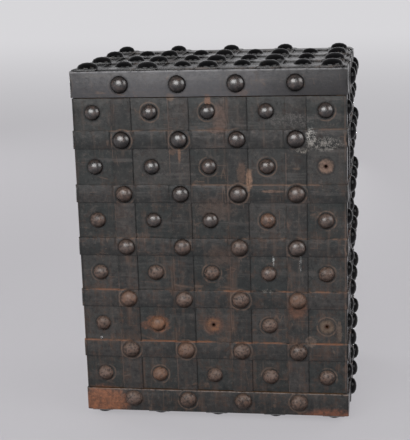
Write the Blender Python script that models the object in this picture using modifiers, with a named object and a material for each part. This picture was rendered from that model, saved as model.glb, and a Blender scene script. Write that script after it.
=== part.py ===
"""An upright hobnail strongbox: an oak case and door, clad in sheet iron, bound with a lattice of
iron straps and studded with domed nails on all six sides. The door fills the front between the head
band and the sill band. It turns on two hidden pivots at its left edge, and three bolts lock it.

Units are metres and +Z is up. The origin is on the floor under the middle of the box, which stands
on the nails under its base. The front looks along -Y.
"""

import math

import bmesh
import bpy
from mathutils import Matrix, Vector

# Overall sizes, over the iron sheets and without straps and nails
WIDTH = 0.600
DEPTH = 0.460
HEIGHT = 0.786

# Oak and iron thicknesses
SIDE_BOARD = 0.050
TOP_BOARD = 0.055
BOTTOM_BOARD = 0.050
BACK_BOARD = 0.040
SHEET = 0.002
LINING = 0.002
STRAP = 0.0025

# Nail heads: the big ones sit on crossings of straps, the small ones between them
BIG_RADIUS = 0.019
BIG_HEIGHT = 0.013
SMALL_RADIUS = 0.017
SMALL_HEIGHT = 0.012
NAIL_SIDES = 8
NAIL_BED = 0.0005
CROWN_WEAR = 0.0008
SHANK_HOLE_RADIUS = 0.004
SHANK_HOLE_DEPTH = 0.032
SHANK_SIDES = 6

# The lattice: strap widths, counts, and margins from the edges of a side to its outermost nails
UPRIGHT_WIDTH = 0.045
HOOP_WIDTH = 0.040
LONG_STRAP_WIDTH = 0.048
CROSS_STRAP_WIDTH = 0.044
HOOP_COUNT = 7
FRONT_CELLS = 5
SIDE_CELLS = 4
FRONT_MARGIN = 0.045
ROW_MARGIN = 0.030
SIDE_MARGIN = 0.050
LEFT_MARGIN = 0.032
TOP_MARGIN_X = 0.032
TOP_MARGIN_Y = 0.030
JOGGLE_RUN = 0.005

# Gaps: between pieces that rest on each other, round the door, and beside what turns or slides
SEAT = 0.0003
DOOR_GAP = 0.002
LAP_GAP = 0.001
FREE_GAP = 0.0035
TURN_GAP = 0.001
RUN_GAP = 0.0006

# The door's hinge edge, its stop and its pivots
HINGE_INSET = 0.020
LIP = 0.020
EDGE_RETURN = 0.042
STRAP_RETURN = 0.038
PIVOT_RADIUS = 0.007
PIVOT_IN_DOOR = 0.040
PIVOT_IN_BOARD = 0.025
SOCKET_WALL = 0.0045
SOCKET_FLOOR = 0.004
ROUND_SIDES = 16
HINGE_EDGE_STEPS = 6

# The lock behind the door
BOLT_SIZE = 0.020
BOLT_THROW = 0.022
BOLT_SPREAD = 0.190
MIDDLE_BOLT_DROP = 0.045
BOLT_STAND_OFF = 0.016
BOLT_CLEAR = 0.0077
BAR_WIDTH = 0.028
BAR_THICKNESS = 0.008
BAR_OVERHANG = 0.015
BAR_FROM_EDGE = 0.092
LOCK_WIDTH = 0.132
LOCK_HEIGHT = 0.170
LOCK_DEPTH = 0.032
LOCK_WALL = 0.0025
LOCK_FROM_EDGE = 0.008
GUIDE_LENGTH = 0.030
GUIDE_FROM_EDGE = 0.006
GUIDE_HEIGHT = 0.044
STRIKE_THICKNESS = 0.0025
STRIKE_WIDTH = 0.034
STRIKE_OVERHANG = 0.030
MORTISE_DEPTH = 0.030

# The keyhole, under a nail that swings aside on its own pin
KEYHOLE_RADIUS = 0.005
KEYHOLE_SLOT_WIDTH = 0.006
KEYHOLE_DROP = 0.013
STUD_PIN_RADIUS = 0.0025
STUD_PIN_LIFT = 0.014
STUD_PIN_IN_OAK = 0.012

# The shelf
SHELF_THICKNESS = 0.020
SHELF_HEIGHT = 0.470
SHELF_SETBACK = 0.060
LEDGE_WIDTH = 0.022
LEDGE_HEIGHT = 0.028

# Which small nails have dropped out, as (column, row) from the left and from below
LOST_DOOR_NAILS = {(4, 4), (2, 1), (4, 1)}
LOST_RIGHT_NAILS = {(0, 4)}
KEYHOLE_COLUMN = 3
KEYHOLE_ROW = 3

# Heights above a sheet's face of what lies on it. The lattices on the top and under the base are
# forged together at their crossings, and the straps elsewhere lie loose over each other.
ON_SHEET = SEAT
STRAP_TOP = ON_SHEET + STRAP
ON_STRAP = STRAP_TOP + SEAT
CROSSING_TOP = ON_STRAP + STRAP
ON_CROSSING = CROSSING_TOP + SEAT
ON_LATTICE_STRAP = STRAP_TOP - NAIL_BED
LATTICE_TOP = ON_LATTICE_STRAP + STRAP
NAIL_RISE = BIG_HEIGHT - NAIL_BED
STUD_HEIGHT = CROSSING_TOP + NAIL_RISE - ON_CROSSING

# Heights above the floor
BASE_Z = LATTICE_TOP + NAIL_RISE - CROWN_WEAR
TOP_Z = BASE_Z + HEIGHT
SKIN = SHEET + SEAT
SILL_BAND = SKIN + BOTTOM_BOARD
HEAD_BAND = SKIN + TOP_BOARD
SILL_Z = BASE_Z + SILL_BAND
HEAD_Z = TOP_Z - HEAD_BAND
DOOR_LOW = SILL_Z + DOOR_GAP
DOOR_HIGH = HEAD_Z - DOOR_GAP
DOOR_MIDDLE = (DOOR_LOW + DOOR_HIGH) / 2

# The hinge axis, and the round back of the hinge edge, which clears the wrapped strap ends as it turns
AXIS_X = HINGE_INSET - WIDTH / 2
AXIS_Y = HINGE_INSET - DEPTH / 2
WRAP_CORNER = HINGE_INSET + SEAT + STRAP
HINGE_RADIUS = math.hypot(WRAP_CORNER, WRAP_CORNER) + TURN_GAP
DOOR_BACK = AXIS_Y + HINGE_RADIUS
STOP_Y = DOOR_BACK + TURN_GAP

# Faces of the oak
OAK_X = WIDTH / 2 - SKIN
OAK_Y = DEPTH / 2 - SKIN
INNER_X = OAK_X - SIDE_BOARD
LIP_X = OAK_X - LIP
DOOR_EDGE_X = LIP_X - FREE_GAP
BACK_INNER_Y = OAK_Y - BACK_BOARD
LINING_BACK = DOOR_BACK + SEAT + LINING

# Places of the lock, measured from the free edge of the opening
BOLT_END = INNER_X - BOLT_CLEAR
BOLT_Y = LINING_BACK + SEAT + BOLT_STAND_OFF
BAR_X = BOLT_END - BAR_FROM_EDGE - BAR_WIDTH
BOLT_ROWS = (
    DOOR_MIDDLE - BOLT_SPREAD,
    DOOR_MIDDLE - MIDDLE_BOLT_DROP,
    DOOR_MIDDLE + BOLT_SPREAD,
)
BOLT_NAMES = ("lower_bolt", "middle_bolt", "upper_bolt")


def spread(first, last, count):
    """Evenly spaced values from first to last."""
    return [first + (last - first) * i / (count - 1) for i in range(count)]


def between(values):
    """The midpoints of neighbouring values."""
    return [(a + b) / 2 for a, b in zip(values, values[1:])]


class Face:
    """One side of the box, at the outside of its sheet: points are given along u, up w and out n."""

    def __init__(self, origin, u, w):
        self.origin, self.u, self.w = Vector(origin), Vector(u), Vector(w)
        self.n = self.u.cross(self.w)

    def at(self, along, up, out):
        return self.origin + along * self.u + up * self.w + out * self.n

    def matrix(self, along=0.0, up=0.0, out=0.0):
        turned = Matrix((self.u, self.w, self.n)).transposed().to_4x4()
        return Matrix.Translation(self.at(along, up, out)) @ turned


FRONT = Face((0, -DEPTH / 2, BASE_Z), (1, 0, 0), (0, 0, 1))
BACK = Face((0, DEPTH / 2, BASE_Z), (-1, 0, 0), (0, 0, 1))
LEFT = Face((-WIDTH / 2, 0, BASE_Z), (0, -1, 0), (0, 0, 1))
RIGHT = Face((WIDTH / 2, 0, BASE_Z), (0, 1, 0), (0, 0, 1))
TOP = Face((0, 0, TOP_Z), (1, 0, 0), (0, 1, 0))
BASE = Face((0, 0, BASE_Z), (1, 0, 0), (0, -1, 0))

# Lattice lines along each side. The left side starts behind the door, so its columns stand closer.
HOOP_ROWS = spread(ROW_MARGIN, HEIGHT - ROW_MARGIN, HOOP_COUNT)
CELL_ROWS = between(HOOP_ROWS)
FRONT_COLUMNS = spread(FRONT_MARGIN - WIDTH / 2, WIDTH / 2 - FRONT_MARGIN, FRONT_CELLS)
FRONT_UPRIGHTS = between(FRONT_COLUMNS)
RIGHT_COLUMNS = spread(SIDE_MARGIN - DEPTH / 2, DEPTH / 2 - SIDE_MARGIN, SIDE_CELLS)
RIGHT_UPRIGHTS = between(RIGHT_COLUMNS)
LEFT_COLUMNS = spread(SIDE_MARGIN - DEPTH / 2, -STOP_Y - LEFT_MARGIN, SIDE_CELLS)
LEFT_UPRIGHTS = between(LEFT_COLUMNS)
TOP_COLUMNS = spread(TOP_MARGIN_X - WIDTH / 2, WIDTH / 2 - TOP_MARGIN_X, FRONT_CELLS)
TOP_ROWS = spread(TOP_MARGIN_Y - DEPTH / 2, DEPTH / 2 - TOP_MARGIN_Y, SIDE_CELLS)

KEYHOLE_X = FRONT_UPRIGHTS[KEYHOLE_COLUMN]
KEYHOLE_Z = BASE_Z + HOOP_ROWS[KEYHOLE_ROW]
STUD_PIN_Z = KEYHOLE_Z + STUD_PIN_LIFT


# Scene, materials and helpers

def clear_scene():
    for old in list(bpy.data.objects):
        bpy.data.objects.remove(old)


def make_collection(name):
    made = bpy.data.collections.new(name)
    bpy.context.scene.collection.children.link(made)
    return made


def make_material(name, colour, roughness, metallic):
    made = bpy.data.materials.new(name)
    made.use_nodes = True
    shader = made.node_tree.nodes["Principled BSDF"]
    shader.inputs["Base Color"].default_value = (*colour, 1)
    shader.inputs["Roughness"].default_value = roughness
    shader.inputs["Metallic"].default_value = metallic
    return made


def make_empty(name, location, parent=None):
    made = bpy.data.objects.new(name, None)
    PARTS.objects.link(made)
    made.location = location
    if parent:
        hang(made, parent)
    return made


def hang(obj, parent):
    """Makes obj a child of parent, and leaves it where it is."""
    bpy.context.view_layer.update()
    obj.parent = parent
    obj.matrix_parent_inverse = parent.matrix_world.inverted()


def add_object(name, shape, material, parent, matrix=None):
    """A bmesh as a named part, in place and on its parent."""
    mesh = bpy.data.meshes.new(name)
    shape.to_mesh(mesh)
    shape.free()
    made = bpy.data.objects.new(name, mesh)
    PARTS.objects.link(made)
    made.matrix_world = matrix or Matrix.Identity(4)
    mesh.materials.append(material)
    hang(made, parent)
    return made


def shade_round(obj, angle=math.radians(40)):
    obj.data.shade_smooth()
    obj.data.set_sharp_from_angle(angle=angle)


def add_box_to(shape, low, high):
    """A block between two corners, added to a bmesh."""
    low, high = Vector(low), Vector(high)
    size = Matrix.Diagonal((*(high - low), 1))
    bmesh.ops.create_cube(shape, size=1, matrix=Matrix.Translation((low + high) / 2) @ size)


def add_box(name, low, high, material, parent):
    """A block whose object stands at its middle."""
    low, high = Vector(low), Vector(high)
    half = (high - low) / 2
    shape = bmesh.new()
    add_box_to(shape, -half, half)
    return add_object(name, shape, material, parent, Matrix.Translation((low + high) / 2))


def round_bar(radius, length, sides=ROUND_SIDES):
    """A cylinder on the Z axis from 0 to length."""
    shape = bmesh.new()
    bmesh.ops.create_cone(
        shape, cap_ends=True, segments=sides, radius1=radius, radius2=radius, depth=length,
        matrix=Matrix.Translation((0, 0, length / 2)),
    )
    return shape


TO_Z = Matrix.Identity(4)
TO_Y = Matrix.Rotation(-math.pi / 2, 4, "X")


def make_cutter(name, shape, matrix=None):
    """A helper that other parts are cut with. It is no part of the box."""
    mesh = bpy.data.meshes.new(name)
    shape.to_mesh(mesh)
    shape.free()
    made = bpy.data.objects.new(name, mesh)
    CUTTERS.objects.link(made)
    made.matrix_world = matrix or Matrix.Identity(4)
    made.hide_render = True
    made.display_type = "WIRE"
    return made


def box_cutter(name, low, high):
    shape = bmesh.new()
    add_box_to(shape, low, high)
    return make_cutter(name, shape)


def bar_cutter(name, start, turn, radius, length):
    return make_cutter(name, round_bar(radius, length), Matrix.Translation(start) @ turn)


def bolt_corners(start, end, z, gap=0.0):
    """Opposite corners of the square bolt at height z, or of a way for it with a gap all round."""
    half = BOLT_SIZE / 2 + gap
    return (start, BOLT_Y - half, z - half), (end, BOLT_Y + half, z + half)


def combine(obj, helpers, operation):
    for helper in helpers:
        boolean = obj.modifiers.new(helper.name, "BOOLEAN")
        boolean.operation = operation
        boolean.object = helper


def cut(obj, *cutters):
    combine(obj, cutters, "DIFFERENCE")


def unite(obj, *helpers):
    combine(obj, helpers, "UNION")


# Straps and nails

def strap_path(start, end, crossings, half_width, step=ON_STRAP):
    """Points (along, out) of a strap's underside, which steps up over each strap that it crosses."""
    way = 1 if end > start else -1
    points = [(start, ON_SHEET)]
    for middle in sorted(crossings, reverse=way < 0):
        reach = half_width + 2 * SEAT
        for along, out in (
            (-reach - JOGGLE_RUN, ON_SHEET), (-reach, step), (reach, step), (reach + JOGGLE_RUN, ON_SHEET)
        ):
            points.append((middle + way * along, out))
    return points + [(end, ON_SHEET)]


def add_strip_to(shape, points, across, outward, closed=False):
    """A strap's underside, swept across its width and added to a bmesh as an open surface."""
    corners = [shape.verts.new(point) for point in points]
    pairs = list(zip(corners, corners[1:] + corners[:1]))
    edges = [shape.edges.new(pair) for pair in (pairs if closed else pairs[:-1])]
    swept = bmesh.ops.extrude_edge_only(shape, edges=edges)["geom"]
    moved = [item for item in swept if isinstance(item, bmesh.types.BMVert)]
    faces = [item for item in swept if isinstance(item, bmesh.types.BMFace)]
    bmesh.ops.translate(shape, verts=moved, vec=across)
    shape.normal_update()
    if corners[0].link_faces[0].normal.dot(outward) < 0:
        bmesh.ops.reverse_faces(shape, faces=faces)


def thicken(obj):
    solidify = obj.modifiers.new("thickness", "SOLIDIFY")
    solidify.thickness = STRAP
    solidify.offset = 1
    solidify.use_even_offset = True


def add_bent_strap(name, points, across, outward, material, parent, matrix, closed=False):
    """A strap that steps over others: an open strip, thickened outward."""
    shape = bmesh.new()
    add_strip_to(shape, points, across, outward, closed)
    made = add_object(name, shape, material, parent, matrix)
    thicken(made)
    return made


def add_flat_strap(name, face, middle, width, low, high, material, parent):
    """A straight strap that lies flat on one side and runs up it."""
    shape = bmesh.new()
    half = Vector((width / 2, (high - low) / 2, STRAP / 2))
    add_box_to(shape, -half, half)
    return add_object(
        name, shape, material, parent, face.matrix(middle, (low + high) / 2, ON_SHEET + STRAP / 2)
    )


def nail_head(radius, height, wear=0.0):
    """The domed head of a hand-forged nail, flat underneath. A worn one has a small flat crown."""
    shape = bmesh.new()
    bmesh.ops.create_uvsphere(shape, u_segments=NAIL_SIDES, v_segments=4, radius=radius)
    bmesh.ops.scale(shape, verts=shape.verts, vec=(1, 1, height / radius))
    levels = [(0.0, 1)] + ([(height - wear, -1)] if wear else [])
    for level, way in levels:
        everything = shape.verts[:] + shape.edges[:] + shape.faces[:]
        bmesh.ops.bisect_plane(
            shape, geom=everything, plane_co=(0, 0, level), plane_no=(0, 0, way), clear_inner=True
        )
        rim = [edge for edge in shape.edges if edge.is_boundary]
        bmesh.ops.contextual_create(shape, geom=rim)
    bmesh.ops.recalc_face_normals(shape, faces=shape.faces)
    return shape


def nail_group(name, seats, wear=0.0):
    """Nail heads, to unite with what they hold. Each seat is (side, along, up, out, is it a big nail)."""
    patterns = {}
    for is_big, radius, height in ((True, BIG_RADIUS, BIG_HEIGHT), (False, SMALL_RADIUS, SMALL_HEIGHT)):
        head = nail_head(radius, height, wear if is_big else 0.0)
        bmesh.ops.translate(head, verts=head.verts, vec=(0, 0, -NAIL_BED))
        patterns[is_big] = bpy.data.meshes.new("nail_pattern")
        head.to_mesh(patterns[is_big])
        head.free()
    group = bmesh.new()
    for face, along, up, out, is_big in seats:
        count = len(group.verts)
        group.from_mesh(patterns[is_big])
        group.verts.ensure_lookup_table()
        bmesh.ops.transform(group, matrix=face.matrix(along, up, out), verts=group.verts[count:])
    for pattern in patterns.values():
        bpy.data.meshes.remove(pattern)
    return make_cutter(name, group)


def crossing_seats(face, columns, rows, out=CROSSING_TOP):
    return [(face, along, up, out, True) for along in columns for up in rows]


def cell_seats(face, columns, rows, lost=()):
    return [
        (face, along, up, 0.0, False)
        for column, along in enumerate(columns)
        for row, up in enumerate(rows)
        if (column, row) not in lost
    ]


def shank_holes(name, face, columns, rows, lost):
    """Cutters for the holes that lost nails leave in the sheet and the oak."""
    for column, row in sorted(lost):
        start = face.matrix(columns[column], rows[row], -SHANK_HOLE_DEPTH)
        shank = round_bar(SHANK_HOLE_RADIUS, 2 * SHANK_HOLE_DEPTH, SHANK_SIDES)
        yield make_cutter(f"{name}_{column}_{row}", shank, start)


# The case

def add_case_boards():
    top = add_box(
        "top_board", (-OAK_X, -DEPTH / 2, HEAD_Z), (OAK_X, OAK_Y, TOP_Z - SKIN), OAK, CASE
    )
    bottom = add_box(
        "bottom_board", (-OAK_X, -DEPTH / 2, BASE_Z + SKIN), (OAK_X, OAK_Y, SILL_Z), OAK, CASE
    )
    low, high = SILL_Z + SEAT, HEAD_Z - SEAT
    add_box("left_board", (-OAK_X, STOP_Y, low), (-INNER_X, OAK_Y, high), OAK, CASE)
    right = add_box(
        "right_board", (INNER_X, LAP_GAP + SHEET - DEPTH / 2, low), (OAK_X, OAK_Y, high), OAK, CASE
    )
    add_box(
        "back_board", (SEAT - INNER_X, BACK_INNER_Y, low), (INNER_X - SEAT, OAK_Y, high), OAK, CASE
    )
    return top, bottom, right


def cut_right_board(board, lost_holes):
    """The stop that the door closes against, the recess for the strike and the bolts' mortises."""
    rebate = box_cutter(
        "rebate_cutter", (INNER_X - LIP, -DEPTH, 0), (LIP_X, STOP_Y, TOP_Z + HEIGHT)
    )
    low, high = strike_corners()
    recess = box_cutter(
        "strike_recess_cutter",
        (INNER_X - LIP, low.y - SEAT, low.z - SEAT),
        (INNER_X + STRIKE_THICKNESS + SEAT, high.y + SEAT, high.z + SEAT),
    )
    mortises = [
        box_cutter(f"mortise_cutter_{i}", *bolt_corners(INNER_X, INNER_X + MORTISE_DEPTH, z, TURN_GAP))
        for i, z in enumerate(BOLT_ROWS)
    ]
    cut(board, rebate, recess, *mortises, *lost_holes)


def strike_corners():
    low = Vector((INNER_X, BOLT_Y - STRIKE_WIDTH / 2, BOLT_ROWS[0] - STRIKE_OVERHANG))
    high = Vector(
        (INNER_X + STRIKE_THICKNESS, BOLT_Y + STRIKE_WIDTH / 2, BOLT_ROWS[-1] + STRIKE_OVERHANG)
    )
    return low, high


def add_strike():
    strike = add_box("strike_plate", *strike_corners(), IRON, CASE)
    holes = [
        box_cutter(f"strike_hole_cutter_{i}", *bolt_corners(INNER_X - LIP, INNER_X + LIP, z, RUN_GAP))
        for i, z in enumerate(BOLT_ROWS)
    ]
    cut(strike, *holes)


def add_case_sheets():
    """The iron sheets, each with the small nails that hold it in the middle of the lattice's cells."""
    x, y = WIDTH / 2, DEPTH / 2
    top = add_box("top_sheet", (-x, -y, TOP_Z - SHEET), (x, y, TOP_Z), BLACK, CASE)
    bottom = add_box("bottom_sheet", (-x, -y, BASE_Z), (x, y, BASE_Z + SHEET), BLACK, CASE)
    low, high = BASE_Z + SKIN, TOP_Z - SKIN
    left = add_box("left_sheet", (-x, -y, low), (SHEET - x, OAK_Y, high), BLACK, CASE)
    door_edge = box_cutter(
        "door_edge_cutter", (-WIDTH, -DEPTH, SILL_Z), (SHEET - x + SKIN, STOP_Y, HEAD_Z)
    )
    cut(left, door_edge)
    right = add_box("right_sheet", (x - SHEET, -y, low), (x, OAK_Y, high), BLACK, CASE)
    lap = box_cutter(
        "lap_cutter", (x - SHEET - SKIN, -DEPTH, SILL_Z), (WIDTH, LAP_GAP + SHEET - y, HEAD_Z)
    )
    cut(right, lap)
    back = add_box("back_sheet", (-x, y - SHEET, low), (x, y, high), BLACK, CASE)
    lid_cells = between(TOP_COLUMNS), between(TOP_ROWS)
    for sheet, seats in (
        (top, cell_seats(TOP, *lid_cells)),
        (bottom, cell_seats(BASE, *lid_cells)),
        (left, cell_seats(LEFT, LEFT_COLUMNS, CELL_ROWS)),
        (right, cell_seats(RIGHT, RIGHT_COLUMNS, CELL_ROWS, LOST_RIGHT_NAILS)),
        (back, cell_seats(BACK, FRONT_COLUMNS, CELL_ROWS)),
    ):
        unite(sheet, nail_group(f"{sheet.name}_nails", seats))
    return right


def add_case_uprights():
    for side, face, columns in (
        ("left", LEFT, LEFT_UPRIGHTS), ("right", RIGHT, RIGHT_UPRIGHTS), ("back", BACK, FRONT_UPRIGHTS)
    ):
        for number, middle in enumerate(columns, 1):
            name = f"{side}_upright_strap_{number}"
            add_flat_strap(name, face, middle, UPRIGHT_WIDTH, SKIN, HEIGHT - SKIN, BLACK, CASE)


def side_points(face, start, end, crossings):
    flat = Vector((1, 1, 0))
    path = strap_path(start, end, crossings, UPRIGHT_WIDTH / 2)
    return [face.at(along, 0, out) * flat for along, out in path]


def add_hoops():
    """Straps round the case. The outer two close round the front, the others stop at the door."""
    x, y = WIDTH / 2 + SEAT, DEPTH / 2 + SEAT
    for row, middle in enumerate(HOOP_ROWS):
        is_band = row in (0, HOOP_COUNT - 1)
        left_start = y if is_band else -STOP_Y
        right_end = -y if is_band else LAP_GAP + SHEET - DEPTH / 2
        points = side_points(LEFT, left_start, -y, LEFT_UPRIGHTS)
        points += side_points(BACK, x, -x, FRONT_UPRIGHTS)[1:]
        points += side_points(RIGHT, y, right_end, RIGHT_UPRIGHTS)[1:]
        low, width, name = middle - HOOP_WIDTH / 2, HOOP_WIDTH, f"hoop_{row + 1}"
        if row == 0:
            low, width, name = 0, SILL_BAND, "sill_hoop"
        if row == HOOP_COUNT - 1:
            low, width, name = HEIGHT - HEAD_BAND, HEAD_BAND, "head_hoop"
        seats = [
            seat
            for face, columns in ((LEFT, LEFT_UPRIGHTS), (BACK, FRONT_UPRIGHTS), (RIGHT, RIGHT_UPRIGHTS))
            for seat in crossing_seats(face, columns, [middle])
        ]
        if is_band:
            seats += crossing_seats(FRONT, FRONT_UPRIGHTS, [middle], STRAP_TOP)
        hoop = add_bent_strap(
            name, points, (0, 0, width), LEFT.n, WORN if is_band else BLACK, CASE,
            Matrix.Translation((0, 0, BASE_Z + low)), closed=is_band,
        )
        unite(hoop, nail_group(f"{name}_nails", seats))


def add_lattice(name, face, wear):
    """The lattice on the top or under the base: long straps from front to back, cross straps over them."""
    shape = bmesh.new()
    reach = DEPTH / 2 - SEAT
    for middle in TOP_COLUMNS:
        add_box_to(
            shape, (middle - LONG_STRAP_WIDTH / 2, -reach, ON_SHEET),
            (middle + LONG_STRAP_WIDTH / 2, reach, STRAP_TOP),
        )
    lattice = add_object(name, shape, BLACK, CASE, face.matrix())
    reach = WIDTH / 2 - SEAT
    path = strap_path(-reach, reach, TOP_COLUMNS, LONG_STRAP_WIDTH / 2, ON_LATTICE_STRAP)
    crosses = bmesh.new()
    for middle in TOP_ROWS:
        points = [(along, middle - CROSS_STRAP_WIDTH / 2, out) for along, out in path]
        add_strip_to(crosses, points, (0, CROSS_STRAP_WIDTH, 0), Vector((0, 0, 1)))
    over = make_cutter(f"{name}_cross_straps", crosses, face.matrix())
    thicken(over)
    seats = crossing_seats(face, TOP_COLUMNS, TOP_ROWS, LATTICE_TOP)
    unite(lattice, over, nail_group(f"{name}_nails", seats, wear))


def add_pivot(name, board, seat_z, way):
    """A pin in the door's edge that turns in a blind iron socket let into the board; way is up or down."""
    turn = TO_Z if way > 0 else Matrix.Rotation(math.pi, 4, "X")
    door_edge = DOOR_HIGH if way > 0 else DOOR_LOW
    start = Vector((AXIS_X, AXIS_Y, door_edge - way * (PIVOT_IN_DOOR - SEAT)))
    length = PIVOT_IN_DOOR - SEAT + DOOR_GAP + PIVOT_IN_BOARD
    pin = add_object(
        f"{name}_pivot_pin", round_bar(PIVOT_RADIUS, length), IRON, DOOR, Matrix.Translation(start) @ turn
    )
    shade_round(pin)
    seat = Vector((AXIS_X, AXIS_Y, seat_z))
    outer = PIVOT_RADIUS + SOCKET_WALL
    depth = PIVOT_IN_BOARD + SEAT + SOCKET_FLOOR
    socket = add_object(
        f"{name}_pivot_socket", round_bar(outer, depth), IRON, CASE, Matrix.Translation(seat) @ turn
    )
    shade_round(socket)
    mouth = seat - Vector((0, 0, way * DOOR_GAP))
    bore = bar_cutter(
        f"{name}_socket_bore_cutter", mouth, turn, PIVOT_RADIUS + RUN_GAP, PIVOT_IN_BOARD + SEAT + DOOR_GAP
    )
    cut(socket, bore)
    nest = bar_cutter(f"{name}_socket_nest_cutter", mouth, turn, outer + RUN_GAP, depth + SEAT + DOOR_GAP)
    cut(board, nest)
    reach = Vector((AXIS_X, AXIS_Y, door_edge - way * PIVOT_IN_DOOR))
    return bar_cutter(
        f"{name}_pin_hole_cutter", reach, turn, PIVOT_RADIUS + RUN_GAP, PIVOT_IN_DOOR + DOOR_GAP
    )


def add_shelf():
    z = BASE_Z + SHELF_HEIGHT
    front = LINING_BACK + SHELF_SETBACK
    back = BACK_INNER_Y - SEAT
    add_box(
        "shelf", (SEAT - INNER_X, front, z), (INNER_X - SEAT, back, z + SHELF_THICKNESS), OAK, CASE
    )
    for name, way in (("left_shelf_ledge", -1), ("right_shelf_ledge", 1)):
        near, far = way * (INNER_X - SEAT - LEDGE_WIDTH), way * (INNER_X - SEAT)
        low = (min(near, far), front, z - SEAT - LEDGE_HEIGHT)
        add_box(name, low, (max(near, far), back, z - SEAT), OAK, CASE)


# The door

def door_outline():
    """The door board in plan: square in front, and round about the hinge axis behind its left edge."""
    flat_end = math.acos((AXIS_X + OAK_X) / HINGE_RADIUS)
    points = [(-OAK_X, -OAK_Y), (DOOR_EDGE_X, -OAK_Y), (DOOR_EDGE_X, DOOR_BACK)]
    for i in range(HINGE_EDGE_STEPS + 1):
        angle = math.pi / 2 + (math.pi / 2 - flat_end) * i / HINGE_EDGE_STEPS
        points.append(
            (AXIS_X + HINGE_RADIUS * math.cos(angle), AXIS_Y + HINGE_RADIUS * math.sin(angle))
        )
    return points


def add_door_board():
    outline = bpy.data.curves.new("door_outline", "CURVE")
    outline.dimensions = "2D"
    outline.fill_mode = "BOTH"
    outline.extrude = (DOOR_HIGH - DOOR_LOW) / 2
    points = door_outline()
    spline = outline.splines.new("POLY")
    spline.points.add(len(points) - 1)
    for point, (x, y) in zip(spline.points, points):
        point.co = (x, y, 0, 1)
    spline.use_cyclic_u = True
    drawn = bpy.data.objects.new("door_outline", outline)
    PARTS.objects.link(drawn)
    drawn.location.z = DOOR_MIDDLE
    bpy.context.view_layer.update()
    flat = bpy.data.meshes.new_from_object(drawn.evaluated_get(bpy.context.evaluated_depsgraph_get()))
    shape = bmesh.new()
    shape.from_mesh(flat)
    bmesh.ops.remove_doubles(shape, verts=shape.verts, dist=1e-6)
    bmesh.ops.recalc_face_normals(shape, faces=shape.faces)
    matrix = drawn.matrix_world.copy()
    bpy.data.objects.remove(drawn)
    bpy.data.meshes.remove(flat)
    return add_object("door_board", shape, OAK, DOOR, matrix)


def add_door_plates():
    x, y = WIDTH / 2, DEPTH / 2
    sheet = add_box("door_sheet", (-x, -y, DOOR_LOW), (x, SHEET - y, DOOR_HIGH), WORN, DOOR)
    seats = cell_seats(FRONT, FRONT_COLUMNS, CELL_ROWS, LOST_DOOR_NAILS)
    unite(sheet, nail_group("door_sheet_nails", seats))
    add_box(
        "hinge_edge_plate", (-x, -OAK_Y, DOOR_LOW), (SHEET - x, EDGE_RETURN - y, DOOR_HIGH), WORN, DOOR
    )
    inset = INNER_X - FREE_GAP - SEAT
    lining = add_box(
        "door_lining",
        (-inset, DOOR_BACK + SEAT, DOOR_LOW), (inset, LINING_BACK, DOOR_HIGH), IRON, DOOR,
    )
    return sheet, lining


def add_door_straps():
    """Four uprights, and five cross straps over them whose ends fold round the hinge edge."""
    low, high = DOOR_LOW - BASE_Z, DOOR_HIGH - BASE_Z
    uprights = [
        add_flat_strap(f"door_upright_strap_{number}", FRONT, middle, UPRIGHT_WIDTH, low, high, WORN, DOOR)
        for number, middle in enumerate(FRONT_UPRIGHTS, 1)
    ]
    corner = -WIDTH / 2 - SEAT
    path = [(corner, -STRAP_RETURN)] + strap_path(corner, WIDTH / 2, FRONT_UPRIGHTS, UPRIGHT_WIDTH / 2)
    crosses = []
    for row, middle in enumerate(HOOP_ROWS[1:-1], 1):
        name = f"door_cross_strap_{row}"
        points = [(along, middle - HOOP_WIDTH / 2, out) for along, out in path]
        strap = add_bent_strap(
            name, points, (0, HOOP_WIDTH, 0), Vector((-1, 0, 0)), WORN, DOOR, FRONT.matrix()
        )
        nailed = [
            along
            for column, along in enumerate(FRONT_UPRIGHTS)
            if (column, row) != (KEYHOLE_COLUMN, KEYHOLE_ROW)
        ]
        unite(strap, nail_group(f"{name}_nails", crossing_seats(FRONT, nailed, [middle])))
        crosses.append(strap)
    return uprights, crosses


def keyhole_cutters():
    """The keyhole through the door, and the hole that the swinging nail's pin turns in."""
    start = Vector((KEYHOLE_X, -DEPTH, KEYHOLE_Z))
    eye = bar_cutter("keyhole_eye_cutter", start, TO_Y, KEYHOLE_RADIUS, DEPTH)
    slot = box_cutter(
        "keyhole_slot_cutter",
        (KEYHOLE_X - KEYHOLE_SLOT_WIDTH / 2, -DEPTH, KEYHOLE_Z - KEYHOLE_DROP),
        (KEYHOLE_X + KEYHOLE_SLOT_WIDTH / 2, 0, KEYHOLE_Z),
    )
    pin = bar_cutter(
        "stud_pin_cutter", (KEYHOLE_X, -DEPTH, STUD_PIN_Z), TO_Y, STUD_PIN_RADIUS + RUN_GAP,
        DEPTH / 2 + SHEET + SEAT + STUD_PIN_IN_OAK + SEAT,
    )
    return eye, slot, pin


def add_keyhole_stud():
    """A nail head with a pin near its top, so that it hangs over the keyhole and swings aside."""
    head = nail_head(BIG_RADIUS, STUD_HEIGHT)
    bmesh.ops.translate(head, verts=head.verts, vec=(0, -STUD_PIN_LIFT, 0))
    pivot = FRONT.matrix(KEYHOLE_X, STUD_PIN_Z - BASE_Z, ON_CROSSING)
    stud = add_object("keyhole_stud", head, NAIL, STUD, pivot)
    sunk = ON_CROSSING + SKIN + STUD_PIN_IN_OAK
    shank = make_cutter(
        "stud_shank", round_bar(STUD_PIN_RADIUS, sunk + STUD_PIN_RADIUS),
        pivot @ Matrix.Translation((0, 0, -sunk)),
    )
    union = stud.modifiers.new("shank", "BOOLEAN")
    union.operation = "UNION"
    union.object = shank
    shade_round(stud)


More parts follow.
